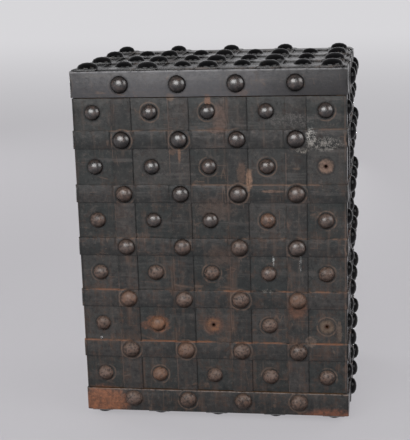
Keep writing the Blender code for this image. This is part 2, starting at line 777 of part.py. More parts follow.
def add_bolt_guide(name, z):
    """A block on the lining that one of the outer bolts slides in."""
    end = BOLT_END - GUIDE_FROM_EDGE
    low = Vector((end - GUIDE_LENGTH, LINING_BACK + SEAT, z - GUIDE_HEIGHT / 2))
    guide = add_box(name, low, low + Vector((GUIDE_LENGTH, 2 * BOLT_STAND_OFF, GUIDE_HEIGHT)), IRON, DOOR)
    way = bolt_corners(low.x - GUIDE_LENGTH, end + GUIDE_LENGTH, z, RUN_GAP)
    cut(guide, box_cutter(f"{name}_cutter", *way))


def add_lock():
    """The lock case on the door's lining, the guides of the outer bolts, and the boltwork."""
    low = Vector((INNER_X - LOCK_FROM_EDGE - LOCK_WIDTH, LINING_BACK + SEAT, DOOR_MIDDLE - LOCK_HEIGHT / 2))
    high = low + Vector((LOCK_WIDTH, LOCK_DEPTH, LOCK_HEIGHT))
    case = add_box("lock_case", low, high, IRON, DOOR)
    hollow = box_cutter(
        "lock_hollow_cutter",
        (low.x + LOCK_WALL, low.y - LOCK_WALL, low.z + LOCK_WALL), high - Vector((LOCK_WALL,) * 3),
    )
    bar_way = box_cutter(
        "bar_way_cutter",
        (BAR_X - TURN_GAP, BOLT_Y - BAR_THICKNESS / 2 - RUN_GAP, low.z - LOCK_WALL),
        (
            BAR_X + BAR_WIDTH + BOLT_THROW + TURN_GAP, BOLT_Y + BAR_THICKNESS / 2 + RUN_GAP,
            high.z + LOCK_WALL,
        ),
    )
    bolt_way = box_cutter(
        "bolt_way_cutter",
        *bolt_corners(high.x - LOCK_WALL - RUN_GAP, high.x + LOCK_WALL, BOLT_ROWS[1], RUN_GAP),
    )
    cut(case, hollow, bar_way, bolt_way)
    add_bolt_guide("lower_bolt_guide", BOLT_ROWS[0])
    add_bolt_guide("upper_bolt_guide", BOLT_ROWS[-1])
    add_box(
        "bolt_bar",
        (BAR_X, BOLT_Y - BAR_THICKNESS / 2, BOLT_ROWS[0] - BOLT_SIZE / 2 - BAR_OVERHANG),
        (BAR_X + BAR_WIDTH, BOLT_Y + BAR_THICKNESS / 2, BOLT_ROWS[-1] + BOLT_SIZE / 2 + BAR_OVERHANG),
        IRON, BOLTS,
    )
    root = BAR_X + BAR_WIDTH + SEAT
    for name, z in zip(BOLT_NAMES, BOLT_ROWS):
        add_box(name, *bolt_corners(root, BOLT_END, z), IRON, BOLTS)


# Assembly

clear_scene()
PARTS = make_collection("hobnail_strongbox")
CUTTERS = make_collection("cutters")

OAK = make_material("oak", (0.16, 0.085, 0.04), 0.7, 0.0)
BLACK = make_material("blackened_iron", (0.028, 0.028, 0.030), 0.42, 0.7)
WORN = make_material("worn_rusty_iron", (0.050, 0.045, 0.042), 0.55, 0.6)
NAIL = make_material("forged_nail_iron", (0.045, 0.036, 0.032), 0.35, 0.8)
IRON = make_material("bare_iron", (0.16, 0.15, 0.14), 0.45, 0.9)

CASE = make_empty("case", (0, 0, 0))
DOOR = make_empty("door_hinge", (AXIS_X, AXIS_Y, DOOR_LOW), CASE)
BOLTS = make_empty("bolt_slide", (BAR_X, BOLT_Y, DOOR_MIDDLE), DOOR)
STUD = make_empty("stud_pivot", (KEYHOLE_X, -DEPTH / 2, STUD_PIN_Z), DOOR)

top_board, bottom_board, right_board = add_case_boards()
right_sheet = add_case_sheets()
lost_right = list(shank_holes("lost_right_nail", RIGHT, RIGHT_COLUMNS, CELL_ROWS, LOST_RIGHT_NAILS))
cut_right_board(right_board, lost_right)
cut(right_sheet, *lost_right)
add_strike()
add_case_uprights()
add_hoops()
add_lattice("top_strap_lattice", TOP, 0.0)
add_lattice("bottom_strap_lattice", BASE, CROWN_WEAR)
add_shelf()

door_board = add_door_board()
door_sheet, door_lining = add_door_plates()
door_uprights, door_crosses = add_door_straps()
add_keyhole_stud()
add_lock()
upper_pin_hole = add_pivot("upper", top_board, HEAD_Z, 1)
lower_pin_hole = add_pivot("lower", bottom_board, SILL_Z, -1)

keyhole_eye, keyhole_slot, stud_pin_hole = keyhole_cutters()
lost_door = list(shank_holes("lost_door_nail", FRONT, FRONT_COLUMNS, CELL_ROWS, LOST_DOOR_NAILS))
cut(door_board, keyhole_eye, keyhole_slot, stud_pin_hole, upper_pin_hole, lower_pin_hole, *lost_door)
cut(door_sheet, keyhole_eye, keyhole_slot, stud_pin_hole, *lost_door)
cut(door_lining, keyhole_eye, keyhole_slot)
keyhole_cross = door_crosses[KEYHOLE_ROW - 1]
for crossed in (door_uprights[KEYHOLE_COLUMN], keyhole_cross):
    cut(crossed, keyhole_eye, keyhole_slot, stud_pin_hole)
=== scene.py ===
# %% [markdown]
# # A hobnail strongbox
#
# This lesson dresses an old iron-bound strongbox: an oak box with a door, clad in sheet iron, bound with
# straps and studded with domed nails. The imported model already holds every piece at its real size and
# place, so it is loaded as a fixed frame. Each forged piece is then made again with the bends, soft edges
# and dents that a smith leaves, and takes the place of its plain solid.

# %% Load the frame
import math
import random
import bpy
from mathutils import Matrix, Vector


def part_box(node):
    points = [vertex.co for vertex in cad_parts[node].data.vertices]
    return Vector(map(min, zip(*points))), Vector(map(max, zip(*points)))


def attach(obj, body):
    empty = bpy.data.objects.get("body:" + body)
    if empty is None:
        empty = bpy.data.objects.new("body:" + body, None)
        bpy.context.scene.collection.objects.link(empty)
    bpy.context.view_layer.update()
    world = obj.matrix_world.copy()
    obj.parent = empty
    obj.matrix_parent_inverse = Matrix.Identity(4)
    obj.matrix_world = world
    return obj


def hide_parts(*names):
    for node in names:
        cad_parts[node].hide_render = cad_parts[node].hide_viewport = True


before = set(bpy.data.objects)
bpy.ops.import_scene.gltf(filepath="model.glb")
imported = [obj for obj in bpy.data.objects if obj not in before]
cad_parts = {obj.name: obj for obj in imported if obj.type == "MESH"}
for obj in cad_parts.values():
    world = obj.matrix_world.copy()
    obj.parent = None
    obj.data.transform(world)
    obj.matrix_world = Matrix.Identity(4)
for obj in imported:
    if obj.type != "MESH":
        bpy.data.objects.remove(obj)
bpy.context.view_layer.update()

from types import SimpleNamespace

import bmesh
import bpy
from mathutils import Matrix, Vector, noise

# %% [markdown]
# ## The camera
#
# The camera's place and turn were worked out from the corners and nail rows that the photo shows. A turn
# could be given as angles, but three axes say more plainly which way the picture's sides point.

# %% Camera
FOCAL_LENGTH_MM = 93.25
SENSOR_MM = 36.0
CAMERA_PLACE = Vector((0.3751, -2.6514, 1.0533))
PICTURE_RIGHT = Vector((0.98812, 0.15052, -0.03122))
PICTURE_UP = Vector((-0.00477, 0.23304, 0.97246))


def placed(name, data):
    """A new object in the scene."""
    made = bpy.data.objects.new(name, data)
    bpy.context.scene.collection.objects.link(made)
    return made


optics = bpy.data.cameras.new("photo_camera")
optics.lens = FOCAL_LENGTH_MM
optics.sensor_width = SENSOR_MM
camera = placed("photo_camera", optics)
camera_axes = Matrix((PICTURE_RIGHT, PICTURE_UP, PICTURE_RIGHT.cross(PICTURE_UP)))
camera.matrix_world = Matrix.Translation(CAMERA_PLACE) @ camera_axes.transposed().to_4x4()
bpy.context.scene.camera = camera
print("camera:", round(CAMERA_PLACE.length, 2), "m from the foot of the box")

# %% [markdown]
# ## The sides and the lattice
#
# Straps and nails follow one lattice on each side. Their places are read from the frame's nodes, so that
# the dressed pieces land on the solids that they stand for. A side is a small coordinate system of its
# own: along, up and out of the sheet. Points written in it serve the front, the back and the top alike.

# %% Sizes read from the frame
SHEET = 0.002
STRAP = 0.0025
SEAT = 0.0003
ON_STRAP = SEAT + STRAP + SEAT
CROSSING_TOP = ON_STRAP + STRAP

HALF_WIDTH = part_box("back_sheet")[1].x
HALF_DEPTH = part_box("top_sheet")[1].y
BASE_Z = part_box("bottom_sheet")[1].z - SHEET
TOP_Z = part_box("top_sheet")[0].z + SHEET
HEIGHT = TOP_Z - BASE_Z


class Side:
    """One side of the box at the outside of its sheet: points go along u, up w and out n."""

    def __init__(self, origin, u, w):
        self.origin, self.u, self.w = Vector(origin), Vector(u), Vector(w)
        self.n = self.u.cross(self.w)

    def at(self, along, up, out):
        return self.origin + along * self.u + up * self.w + out * self.n

    def matrix(self, along=0.0, up=0.0, out=0.0):
        turned = Matrix((self.u, self.w, self.n)).transposed().to_4x4()
        return Matrix.Translation(self.at(along, up, out)) @ turned

    def extent(self, node):
        """A node's lowest and highest place along the side, and up it."""
        corners = [corner - self.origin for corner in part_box(node)]
        return sorted(c.dot(self.u) for c in corners), sorted(c.dot(self.w) for c in corners)

    def middle(self, node):
        along, up = self.extent(node)
        return sum(along) / 2, sum(up) / 2


FRONT = Side((0, -HALF_DEPTH, BASE_Z), (1, 0, 0), (0, 0, 1))
BACK = Side((0, HALF_DEPTH, BASE_Z), (-1, 0, 0), (0, 0, 1))
LEFT = Side((-HALF_WIDTH, 0, BASE_Z), (0, -1, 0), (0, 0, 1))
RIGHT = Side((HALF_WIDTH, 0, BASE_Z), (0, 1, 0), (0, 0, 1))
TOP = Side((0, 0, TOP_Z), (1, 0, 0), (0, 1, 0))
BASE = Side((0, 0, BASE_Z), (1, 0, 0), (0, -1, 0))
print("box over its sheets:", [round(2 * HALF_WIDTH, 3), round(2 * HALF_DEPTH, 3), round(HEIGHT, 3)])

# %% Lattice lines
ALONG, UP = range(2)
TOP_MARGIN_X = 0.032
TOP_MARGIN_Y = 0.030


def spread(first, last, count):
    return [first + (last - first) * i / (count - 1) for i in range(count)]


def between(values):
    return [(a + b) / 2 for a, b in zip(values, values[1:])]


def around(values):
    """The midpoints of neighbouring values, and one more beyond each end."""
    pitch = values[1] - values[0]
    return [values[0] - pitch / 2, *between(values), values[-1] + pitch / 2]


def strap_middles(side, prefix, count, way=ALONG):
    return [side.middle(f"{prefix}_{number}")[way] for number in range(1, count + 1)]


DOOR_ROWS = strap_middles(FRONT, "door_cross_strap", 5, UP)
ROW_PITCH = DOOR_ROWS[1] - DOOR_ROWS[0]
HOOP_ROWS = [DOOR_ROWS[0] - ROW_PITCH, *DOOR_ROWS, DOOR_ROWS[-1] + ROW_PITCH]
CELL_ROWS = between(HOOP_ROWS)
FRONT_UPRIGHTS = strap_middles(FRONT, "door_upright_strap", 4)
BACK_UPRIGHTS = strap_middles(BACK, "back_upright_strap", 4)
LEFT_UPRIGHTS = strap_middles(LEFT, "left_upright_strap", 3)
RIGHT_UPRIGHTS = strap_middles(RIGHT, "right_upright_strap", 3)
COLUMN_PITCH = FRONT_UPRIGHTS[1] - FRONT_UPRIGHTS[0]
FRONT_CELLS = around(FRONT_UPRIGHTS)
TOP_COLUMNS = spread(TOP_MARGIN_X - HALF_WIDTH, HALF_WIDTH - TOP_MARGIN_X, 5)
TOP_ROWS = spread(TOP_MARGIN_Y - HALF_DEPTH, HALF_DEPTH - TOP_MARGIN_Y, 4)
UPRIGHT_WIDTH = 2 * (FRONT.extent("door_upright_strap_1")[ALONG][1] - FRONT_UPRIGHTS[0])
HOOP_WIDTH = 2 * (FRONT.extent("door_cross_strap_1")[UP][1] - DOOR_ROWS[0])
SILL_TOP = FRONT.extent("sill_hoop")[UP][1]
HEAD_LOW = FRONT.extent("head_hoop")[UP][0]
print("row pitch:", round(ROW_PITCH, 4), "column pitch:", round(COLUMN_PITCH, 4))

# %% [markdown]
# ## Shader arithmetic
#
# The finishes are procedural: each one is worked out from the place of a point on the object, so no
# picture is needed. Node trees are long to write by hand. Here a small class wraps a socket, so that
# ordinary Python arithmetic adds the Math nodes, and one method adds any other node. A colour is then a
# list of layers, each with the mask that says where it shows.

# %% A socket that does arithmetic
class Wire:
    """A node's output socket. Arithmetic on it adds Math nodes to its tree."""

    def __init__(self, socket):
        self.socket = socket

    def node(self, kind, settings=None, inputs=None, output=0):
        """Any other node: its settings first, then the values or links of its inputs."""
        tree = self.socket.id_data
        made = tree.nodes.new(kind)
        for name, value in (settings or {}).items():
            setattr(made, name, value)
        for key, value in (inputs or {}).items():
            if isinstance(value, Wire):
                tree.links.new(value.socket, made.inputs[key])
            else:
                made.inputs[key].default_value = value
        return Wire(made.outputs[output])

    def maths(self, operation, *values):
        return self.node("ShaderNodeMath", {"operation": operation}, dict(enumerate(values)))

    def __add__(self, other):
        return self.maths("ADD", self, other)

    __radd__ = __add__

    def __sub__(self, other):
        return self.maths("SUBTRACT", self, other)

    def __rsub__(self, other):
        return self.maths("SUBTRACT", other, self)

    def __mul__(self, other):
        return self.maths("MULTIPLY", self, other)

    __rmul__ = __mul__

    def __truediv__(self, other):
        return self.maths("DIVIDE", self, other)

    def __abs__(self):
        return self.maths("ABSOLUTE", self)

    def __or__(self, other):
        return self.maths("MAXIMUM", self, other)


def new_finish(name):
    """A material, its shader, and the wire that carries a point's place on the object."""
    material = bpy.data.materials.new(name)
    material.use_nodes = True
    tree = material.node_tree
    place = Wire(tree.nodes.new("ShaderNodeTexCoord").outputs["Object"])
    return material, tree.nodes["Principled BSDF"], place


def plug(node, **values):
    """Sets a node's sockets, or links wires to them."""
    for name, value in values.items():
        socket = node.inputs[name.replace("_", " ")]
        if isinstance(value, Wire):
            socket.id_data.links.new(value.socket, socket)
        else:
            socket.default_value = value


# %% Masks
X_AXIS, Y_AXIS, Z_AXIS = range(3)


def axes(place):
    return [place.node("ShaderNodeSeparateXYZ", {}, {0: place}, output) for output in range(3)]


def grain(place, scale, detail=3.0, roughness=0.55, stretch=(1, 1, 1), shift=(0, 0, 0)):
    """Soft random values between 0 and 1; scale counts the blobs in a metre."""
    moved = place.node(
        "ShaderNodeMapping", {}, {"Vector": place, "Location": shift, "Scale": stretch}
    )
    return place.node(
        "ShaderNodeTexNoise", {},
        {"Vector": moved, "Scale": scale, "Detail": detail, "Roughness": roughness},
    )


def rising(value, low, high):
    """0 below low and 1 above high, with a soft step between them."""
    return value.node(
        "ShaderNodeMapRange", {"interpolation_type": "SMOOTHSTEP"},
        {"Value": value, "From Min": low, "From Max": high},
    )


def falling(value, low, high):
    return 1 - rising(value, low, high)


def hair_lines(place, scale, stretch, shift, thickness):
    """Thin lines: the places where a stretched noise passes through its middle value."""
    drawn = grain(place, scale, 1.0, 0.5, stretch, shift)
    return falling(abs(drawn - 0.5), thickness * 0.3, thickness)


# %% Colours
def linear(colour):
    """Three numbers, as a colour shows on a screen, become a shader's linear values. Others stay."""
    if isinstance(colour, Wire) or len(colour) == 4:
        return colour
    return (*(((c / 255 + 0.055) / 1.055) ** 2.4 if c > 10 else c / 255 / 12.92 for c in colour), 1.0)


def blend(mask, under, over):
    """One colour over another, where the mask is 1."""
    colours = {0: mask, 6: linear(under), 7: linear(over)}
    return mask.node("ShaderNodeMix", {"data_type": "RGBA"}, colours, output=2)


def layered(colour, *layers):
    """A colour with others laid over it in turn, each given as its mask and its colour."""
    for mask, over in layers:
        colour = blend(mask, colour, over)
    return colour


def dented(height, strength, distance):
    return height.node(
        "ShaderNodeBump", {}, {"Strength": strength, "Distance": distance, "Height": height}
    )


print("shader helpers ready")

# %% [markdown]
# ## Old iron on the front
#
# The front was blackened long ago and has rusted since: slate-grey iron with a greenish cast, brown haze
# on the straps, rust creeping along their upper edges where water stood, tan rings round the nails, and a
# few orange blooms. All of it follows the lattice, so the shader folds a point's place back onto one
# lattice cell and measures how far it lies from the nearest strap edge and nail. Painted maps would do
# the same, but they would have to be painted again for each size.

# %% Places and grain of the front
def folded(value, start, pitch):
    """Signed distance from the nearest of a row of lines."""
    return (value - start).maths("WRAP", value - start, pitch / 2, -pitch / 2)


def front_places(place):
    """A point's place on the front, its distances from the straps, and masks of what it lies on."""
    x, _, z = axes(place)
    at = SimpleNamespace(x=x, up=z - BASE_Z)
    at.rise = folded(at.up, HOOP_ROWS[0], ROW_PITCH)
    at.drift = folded(x, FRONT_UPRIGHTS[0], COLUMN_PITCH)
    at.low_down = falling(at.up, HOOP_ROWS[1], HOOP_ROWS[5])
    at.sill = falling(at.up, SILL_TOP - SEAT, SILL_TOP)
    at.head = rising(at.up, HEAD_LOW - SEAT, HEAD_LOW)
    at.door = 1 - (at.sill | at.head)
    at.strap = falling(abs(at.rise), HOOP_WIDTH / 2, HOOP_WIDTH / 2 + SEAT) * at.door
    at.panel = at.door - at.strap
    at.upright = falling(abs(at.drift), UPRIGHT_WIDTH / 2, UPRIGHT_WIDTH / 2 + SEAT) * at.panel
    at.upper_edge = abs(at.rise - HOOP_WIDTH / 2) + (1 - at.door)
    at.side_edge = abs(at.drift + UPRIGHT_WIDTH / 2) + (1 - at.door)
    at.rusty = 1 - 0.70 * at.head
    return at


def front_skin(place):
    """Random values of many sizes, from broad clouds to fine specks."""
    skin = SimpleNamespace(
        cloud=grain(place, 7.0, 5.0, 0.60),
        patch=grain(place, 26.0, 6.0, 0.68, shift=(3.1, 0, 1.7)),
        fleck=grain(place, 85.0, 7.0, 0.74, shift=(9, 0, 4)),
        ragged=grain(place, 130.0, 5.0, 0.70),
        speck=grain(place, 420.0, 3.0, 0.6),
        streak=grain(place, 80.0, 4.0, 0.65, stretch=(1, 1, 0.06)),
        # streaks for the painted sheen
        painted_sheen_streaks=grain(place, 70.0, 4.0, 0.65, stretch=(0.07, 1, 1), shift=(0, 2, 5)),
        damp=rising(grain(place, 10.0, 3.0, shift=(0, 7, 2)), 0.40, 0.60),
    )
    skin.worn = skin.patch * 0.40 + skin.ragged * 0.30 + skin.streak * 0.30
    skin.fray = skin.ragged * 0.55 + skin.patch * 0.45
    return skin


# %% Ground colour of the front
SLATE = (38, 42, 42)
SOOT = (22, 23, 24)


def cell_tone(place, column, row, layer=0.0):
    """One random value for each whole step of column and row."""
    cell = {0: column.maths("FLOOR", column), 1: row.maths("FLOOR", row), 2: layer}
    return place.node(
        "ShaderNodeTexWhiteNoise", {}, {"Vector": place.node("ShaderNodeCombineXYZ", {}, cell)}
    )


def front_ground(place, at, skin):
    """Slate-grey iron, paler on the head band, with a tone of its own in each cell of the lattice, and
    streaks of painted sheen higher up.
    """
    strap_like = at.strap | at.upright | at.sill
    under = blend(at.head, blend(strap_like, SLATE, (36, 38, 38)), (56, 56, 58))
    over = blend(at.head, blend(strap_like, (50, 51, 50), (53, 51, 50)), (75, 74, 76))
    column = (at.x - FRONT_UPRIGHTS[0]) / COLUMN_PITCH + 0.5 * at.upright
    tone = cell_tone(place, column, (at.up - HOOP_ROWS[0]) / ROW_PITCH, at.upright)
    of_panel = 0.45 * at.panel
    rough_skin = 1 - 0.60 * at.head
    return layered(
        blend(rising(skin.cloud * 0.6 + skin.patch * 0.4, 0.40, 0.60), under, over),
        (rising(tone, 0.45, 1.0) * of_panel, (66, 62, 60)),
        (falling(tone, 0.0, 0.50) * of_panel, (27, 30, 29)),
        (rising(skin.patch * 0.45 + skin.ragged * 0.55, 0.49, 0.60) * 0.50 * rough_skin, SOOT),
        # painted sheen: pale horizontal streaks, stronger on the upper rows
        (rising(skin.painted_sheen_streaks, 0.52, 0.68) * (0.42 - 0.20 * at.low_down), (86, 82, 80)),
        (falling(skin.fleck, 0.38, 0.47) * 0.60 * rough_skin, SOOT),
        (rising(skin.fleck, 0.53, 0.63) * 0.38, (84, 77, 73)),
        (rising(skin.streak, 0.56, 0.70) * 0.34, (82, 74, 69)),
    )


# %% Rust and painted shade along the straps and round the nails
RUST = (122, 80, 57)
TAN = (118, 96, 82)
# Each nail size: radius and height of its head
BIG_NAIL = (0.0200, 0.0125)
SMALL_NAIL = (0.0180, 0.0115)


def span(across, tall):
    """The length of a step with these two sides."""
    square = across * across + tall * tall
    return square.maths("SQRT", square)


def edge_rust_and_shade(at, skin):
    """Layers: rust where water stood on the straps' edges, and painted shade along their lower and right
    edges.
    """
    broken = rising(skin.ragged * 0.5 + skin.damp * 0.35, 0.34, 0.60)
    seam = falling(at.side_edge, 0.0005, 0.0020) * broken * 0.45
    hem = falling(at.upper_edge, 0.0005, 0.0024) * broken * (0.40 + 0.58 * at.low_down)
    hem_tint = blend(skin.damp * (0.25 + 0.65 * at.low_down), (128, 108, 94), RUST)
    sill_skin = rising(skin.fleck * 0.5 + skin.ragged * 0.5, 0.40, 0.56)
    sill_rim = falling(abs(at.up - SILL_TOP), 0.0006, 0.0028) * sill_skin
    # painted shade: a dark line under each cross strap and along the right edge of each upright
    painted_edge_shade = falling(abs(at.rise + HOOP_WIDTH / 2), 0.0005, 0.0024)
    painted_edge_shade = painted_edge_shade | falling(abs(at.drift - UPRIGHT_WIDTH / 2), 0.0005, 0.0024)
    return [
        (seam * at.rusty, (104, 88, 80)),
        (hem * at.rusty, hem_tint),
        (sill_rim * 0.75, (142, 128, 120)),
        (painted_edge_shade * at.door * 0.50, SOOT),
    ]


def nail_stains_and_shade(place, at, skin):
    """Layers: dirt and painted contact shade in a dark ring round each nail, a tan ring, and drips below
    some of them.
    """
    cell_reach = span(COLUMN_PITCH / 2 - abs(at.drift), ROW_PITCH / 2 - abs(at.rise))
    cross_reach = span(at.drift, at.rise) - (BIG_NAIL[0] - SMALL_NAIL[0])
    reach = cell_reach.maths("MINIMUM", cell_reach, cross_reach)
    # dirt and painted contact shade: a dark ring where each nail meets the iron, fainter on the lower rows
    grime_and_painted_shade = falling(reach, SMALL_NAIL[0], SMALL_NAIL[0] + 0.0045)
    halo_reach = reach + (skin.patch - 0.5) * 0.008
    halo = falling(abs(halo_reach - SMALL_NAIL[0] - 0.0035), 0.0005, 0.0028)
    halo = halo * rising(skin.ragged * 0.5 + skin.damp * 0.3, 0.40, 0.66)
    below = 0 - at.rise
    drip = falling(abs(at.drift) + (skin.ragged - 0.5) * 0.012, 0.001, 0.007) * rising(below, 0.018, 0.024)
    drip = drip * falling(below, 0.026, 0.052)
    drip = drip * rising(grain(place, 8.0, 1.0, shift=(2, 0, 9)), 0.54, 0.64)
    return [
        (grime_and_painted_shade * (0.75 - 0.40 * at.low_down), SOOT),
        (halo * 0.60 * at.rusty, TAN),
        (drip * 0.35 * at.rusty, (100, 80, 68)),
    ]


# %% Blooms of rust, bared iron and pale scuffs
BROWN = (74, 58, 50)
# The cell (column, row) of each dropped nail, and the colour of the iron that it bared
DOOR_LOST = {(4, 4): (128, 104, 90), (2, 1): (122, 84, 60), (4, 1): (104, 88, 74)}
LOST_DISC = 0.0195
# Each mark, in metres on the front: along, up, half width, half height, raggedness, colour, strength
RUST_BLOOMS = (
    (-0.262, 0.020, 0.068, 0.044, 0.40, (142, 92, 66), 1.0),
    (0.262, -0.010, 0.084, 0.032, 0.40, (122, 78, 60), 1.0),
    (-0.1275, 0.2115, 0.031, 0.026, 0.55, (122, 80, 56), 0.85),
    (-0.156, 0.2080, 0.014, 0.012, 0.60, (116, 76, 56), 0.70),
    (0.002, 0.718, 0.008, 0.020, 0.60, (122, 84, 62), 0.80),
    (0.026, 0.680, 0.018, 0.046, 0.90, (104, 82, 72), 0.60),
    (0.020, 0.655, 0.026, 0.008, 0.70, (98, 72, 60), 0.60),
    (-0.064, 0.604, 0.004, 0.022, 0.50, (126, 94, 74), 0.75),
    (-0.080, 0.608, 0.010, 0.008, 0.80, (104, 78, 62), 0.50),
    (0.191, 0.258, 0.026, 0.036, 0.60, (108, 72, 54), 0.70),
    (0.088, 0.546, 0.009, 0.028, 0.45, (146, 116, 96), 0.90),
    (0.072, 0.560, 0.012, 0.030, 0.90, (106, 82, 68), 0.55),
    (0.000, 0.2115, 0.030, 0.027, 0.60, (104, 70, 54), 0.50),
    (0.140, 0.520, 0.030, 0.004, 0.70, (128, 100, 84), 0.65),
    (0.220, 0.176, 0.014, 0.014, 1.00, (122, 104, 92), 0.60),
    (-0.080, 0.728, 0.012, 0.010, 0.60, (118, 94, 76), 0.60),
    (0.078, 0.736, 0.016, 0.008, 0.70, (100, 82, 74), 0.60),
    (0.020, 0.372, 0.034, 0.030, 0.90, (84, 68, 60), 0.55),
    (0.010, 0.480, 0.052, 0.030, 0.90, (88, 72, 64), 0.55),
    (0.283, 0.200, 0.006, 0.030, 0.60, (118, 98, 84), 0.50),
)
PALE_SCUFFS = (
    (0.224, 0.640, 0.014, 0.022, 0.5, (168, 165, 160), 0.80),
    (0.252, 0.624, 0.046, 0.018, 0.6, (136, 132, 126), 0.80),
    (0.205, 0.610, 0.018, 0.008, 0.6, (146, 140, 132), 0.75),
    (0.180, 0.676, 0.060, 0.022, 0.8, (88, 85, 83), 0.70),
    (0.138, 0.362, 0.003, 0.014, 0.6, (176, 178, 176), 0.75),
    (0.198, 0.358, 0.003, 0.020, 0.6, (170, 172, 170), 0.70),
    (-0.262, 0.176, 0.004, 0.004, 0.4, (220, 220, 220), 0.90),
    (0.122, 0.292, 0.014, 0.006, 0.9, (132, 126, 118), 0.60),
)


def spot(at, skin, along, height, half_width, half_height, raggedness):
    """A round mask with a ragged edge."""
    reach = span((at.x - along) / half_width, (at.up - height) / half_height)
    return falling(reach + (skin.fray - 0.5) * (2.8 * raggedness), 0.55, 1.0)


def front_marks(at, skin):
    """Layers: the rust blooms, the iron bared by dropped nails, and the pale scuffs."""
    mottle = rising(skin.ragged * 0.6 + skin.speck * 0.4, 0.45, 0.60) * 0.6
    speckled = 0.45 + 0.55 * rising(skin.fleck * 0.6 + skin.speck * 0.4, 0.42, 0.54)
    flaking = rising(skin.ragged * 0.5 + skin.fleck * 0.5, 0.44, 0.56) * 0.7
    chalky = rising(skin.fleck * 0.5 + skin.speck * 0.5, 0.47, 0.57)
    layers = []
    for *outline, tint, strength in RUST_BLOOMS:
        layers.append((spot(at, skin, *outline) * speckled * strength, blend(mottle, tint, BROWN)))
    for (column, row), bare in DOOR_LOST.items():
        along, height = FRONT_CELLS[column], CELL_ROWS[row]
        disc = spot(at, skin, along, height, LOST_DISC, LOST_DISC, 0.30)
        pit = span(at.x - along, at.up - height) + (skin.ragged - 0.5) * 0.004
        layers.append((disc * 0.85, blend(flaking, bare, (78, 62, 52))))
        layers.append((falling(pit, 0.0042, 0.0075) * 0.8, (62, 36, 26)))
    for *outline, tint, strength in PALE_SCUFFS:
        layers.append((spot(at, skin, *outline) * chalky * strength, tint))
    return layers


# %% The front's iron
def front_wear_and_light(place, at, skin):
    """Layers: the head band's painted sheen, painted shade at its right end and a painted highlight along
    its top rim, and scratches and specks all over.
    """
    drifting = skin.cloud - 0.5
    # painted sheen: a paler patch left of the middle of the head band
    sheen = falling(abs(at.x + 0.06) + drifting * 0.14, 0.06, 0.22) * at.head
    # painted shade: the head band darker towards its right end
    band_end = rising(at.x + drifting * 0.10, 0.10, 0.22) * at.head
    # painted highlight: a pale line along the top rim of the front
    rim = falling(abs(at.up - HEIGHT + SEAT), 0.0012, 0.0045)
    rim = rim * rising(skin.patch * 0.5 + skin.fleck * 0.5, 0.40, 0.52)
    scratches = hair_lines(place, 26.0, (1, 1, 0.08), (1, 2, 3), 0.007)
    scratches = scratches | hair_lines(place, 22.0, (0.08, 1, 1), (4, 1, 7), 0.006)
    return [
        (sheen * 0.30, (104, 103, 106)),
        (band_end * 0.66, (38, 37, 38)),
        (rim * 0.6, (140, 139, 140)),
        (scratches * rising(skin.patch, 0.49, 0.60) * 0.30, TAN),
        (rising(skin.speck, 0.64, 0.76) * 0.25, (136, 132, 126)),
    ]


def front_iron():
    """One finish for all the worn iron of the front: sheet, uprights, cross straps and both bands."""
    finish, shader, place = new_finish("worn_front_iron")
    at, skin = front_places(place), front_skin(place)
    brown = rising(skin.worn, 0.48, 0.60) * (0.22 + 0.46 * at.low_down) * at.rusty
    edges = at.upper_edge.maths("MINIMUM", at.upper_edge, at.side_edge)
    haze = falling(edges, 0.001, 0.011) * rising(skin.worn, 0.46, 0.58) * (0.20 + 0.34 * at.low_down)
    colour = layered(
        front_ground(place, at, skin), (brown, BROWN), (haze * at.rusty, (80, 63, 54)),
        *edge_rust_and_shade(at, skin), *nail_stains_and_shade(place, at, skin), *front_marks(at, skin),
        *front_wear_and_light(place, at, skin),
    )
    rough = 0.44 - 0.06 * at.head + 0.20 * brown + 0.14 * haze + 0.16 * rising(skin.ragged, 0.42, 0.66)
    height = skin.cloud * 0.40 + skin.patch * 0.38 + skin.ragged * 0.16 + skin.speck * 0.06
    plug(
        shader, Base_Color=colour, Roughness=rough, Normal=dented(height, 0.80, 0.0040),
        Metallic=0.0, Specular_IOR_Level=0.30,
    )
    return finish


WORN_IRON = front_iron()
print("front iron:", len(WORN_IRON.node_tree.nodes), "nodes")

# %% [markdown]
# ## Nails, black iron, oak and bare iron
#
# The front's nails are browned and dull low down, and still shine higher up where hands have rubbed them.
# The other sides are painted a glossy black, a little duller on the nails of the left and the right. The
# oak is dark with age, with long grain and a seam where two planks meet. The lock is bare iron, filed
# bright and then left to brown.

# %% Front nails
# Each one: along, up, strength of its rust
RUSTY_NAILS = (
    (FRONT_CELLS[1], CELL_ROWS[1], 0.85), (FRONT_CELLS[1], CELL_ROWS[0], 0.45),
    (FRONT_UPRIGHTS[1], HOOP_ROWS[1], 0.35), (FRONT_UPRIGHTS[0], HOOP_ROWS[2], 0.40),
    (FRONT_CELLS[3], CELL_ROWS[3], 0.35), (FRONT_UPRIGHTS[3], HOOP_ROWS[2], 0.40),
)


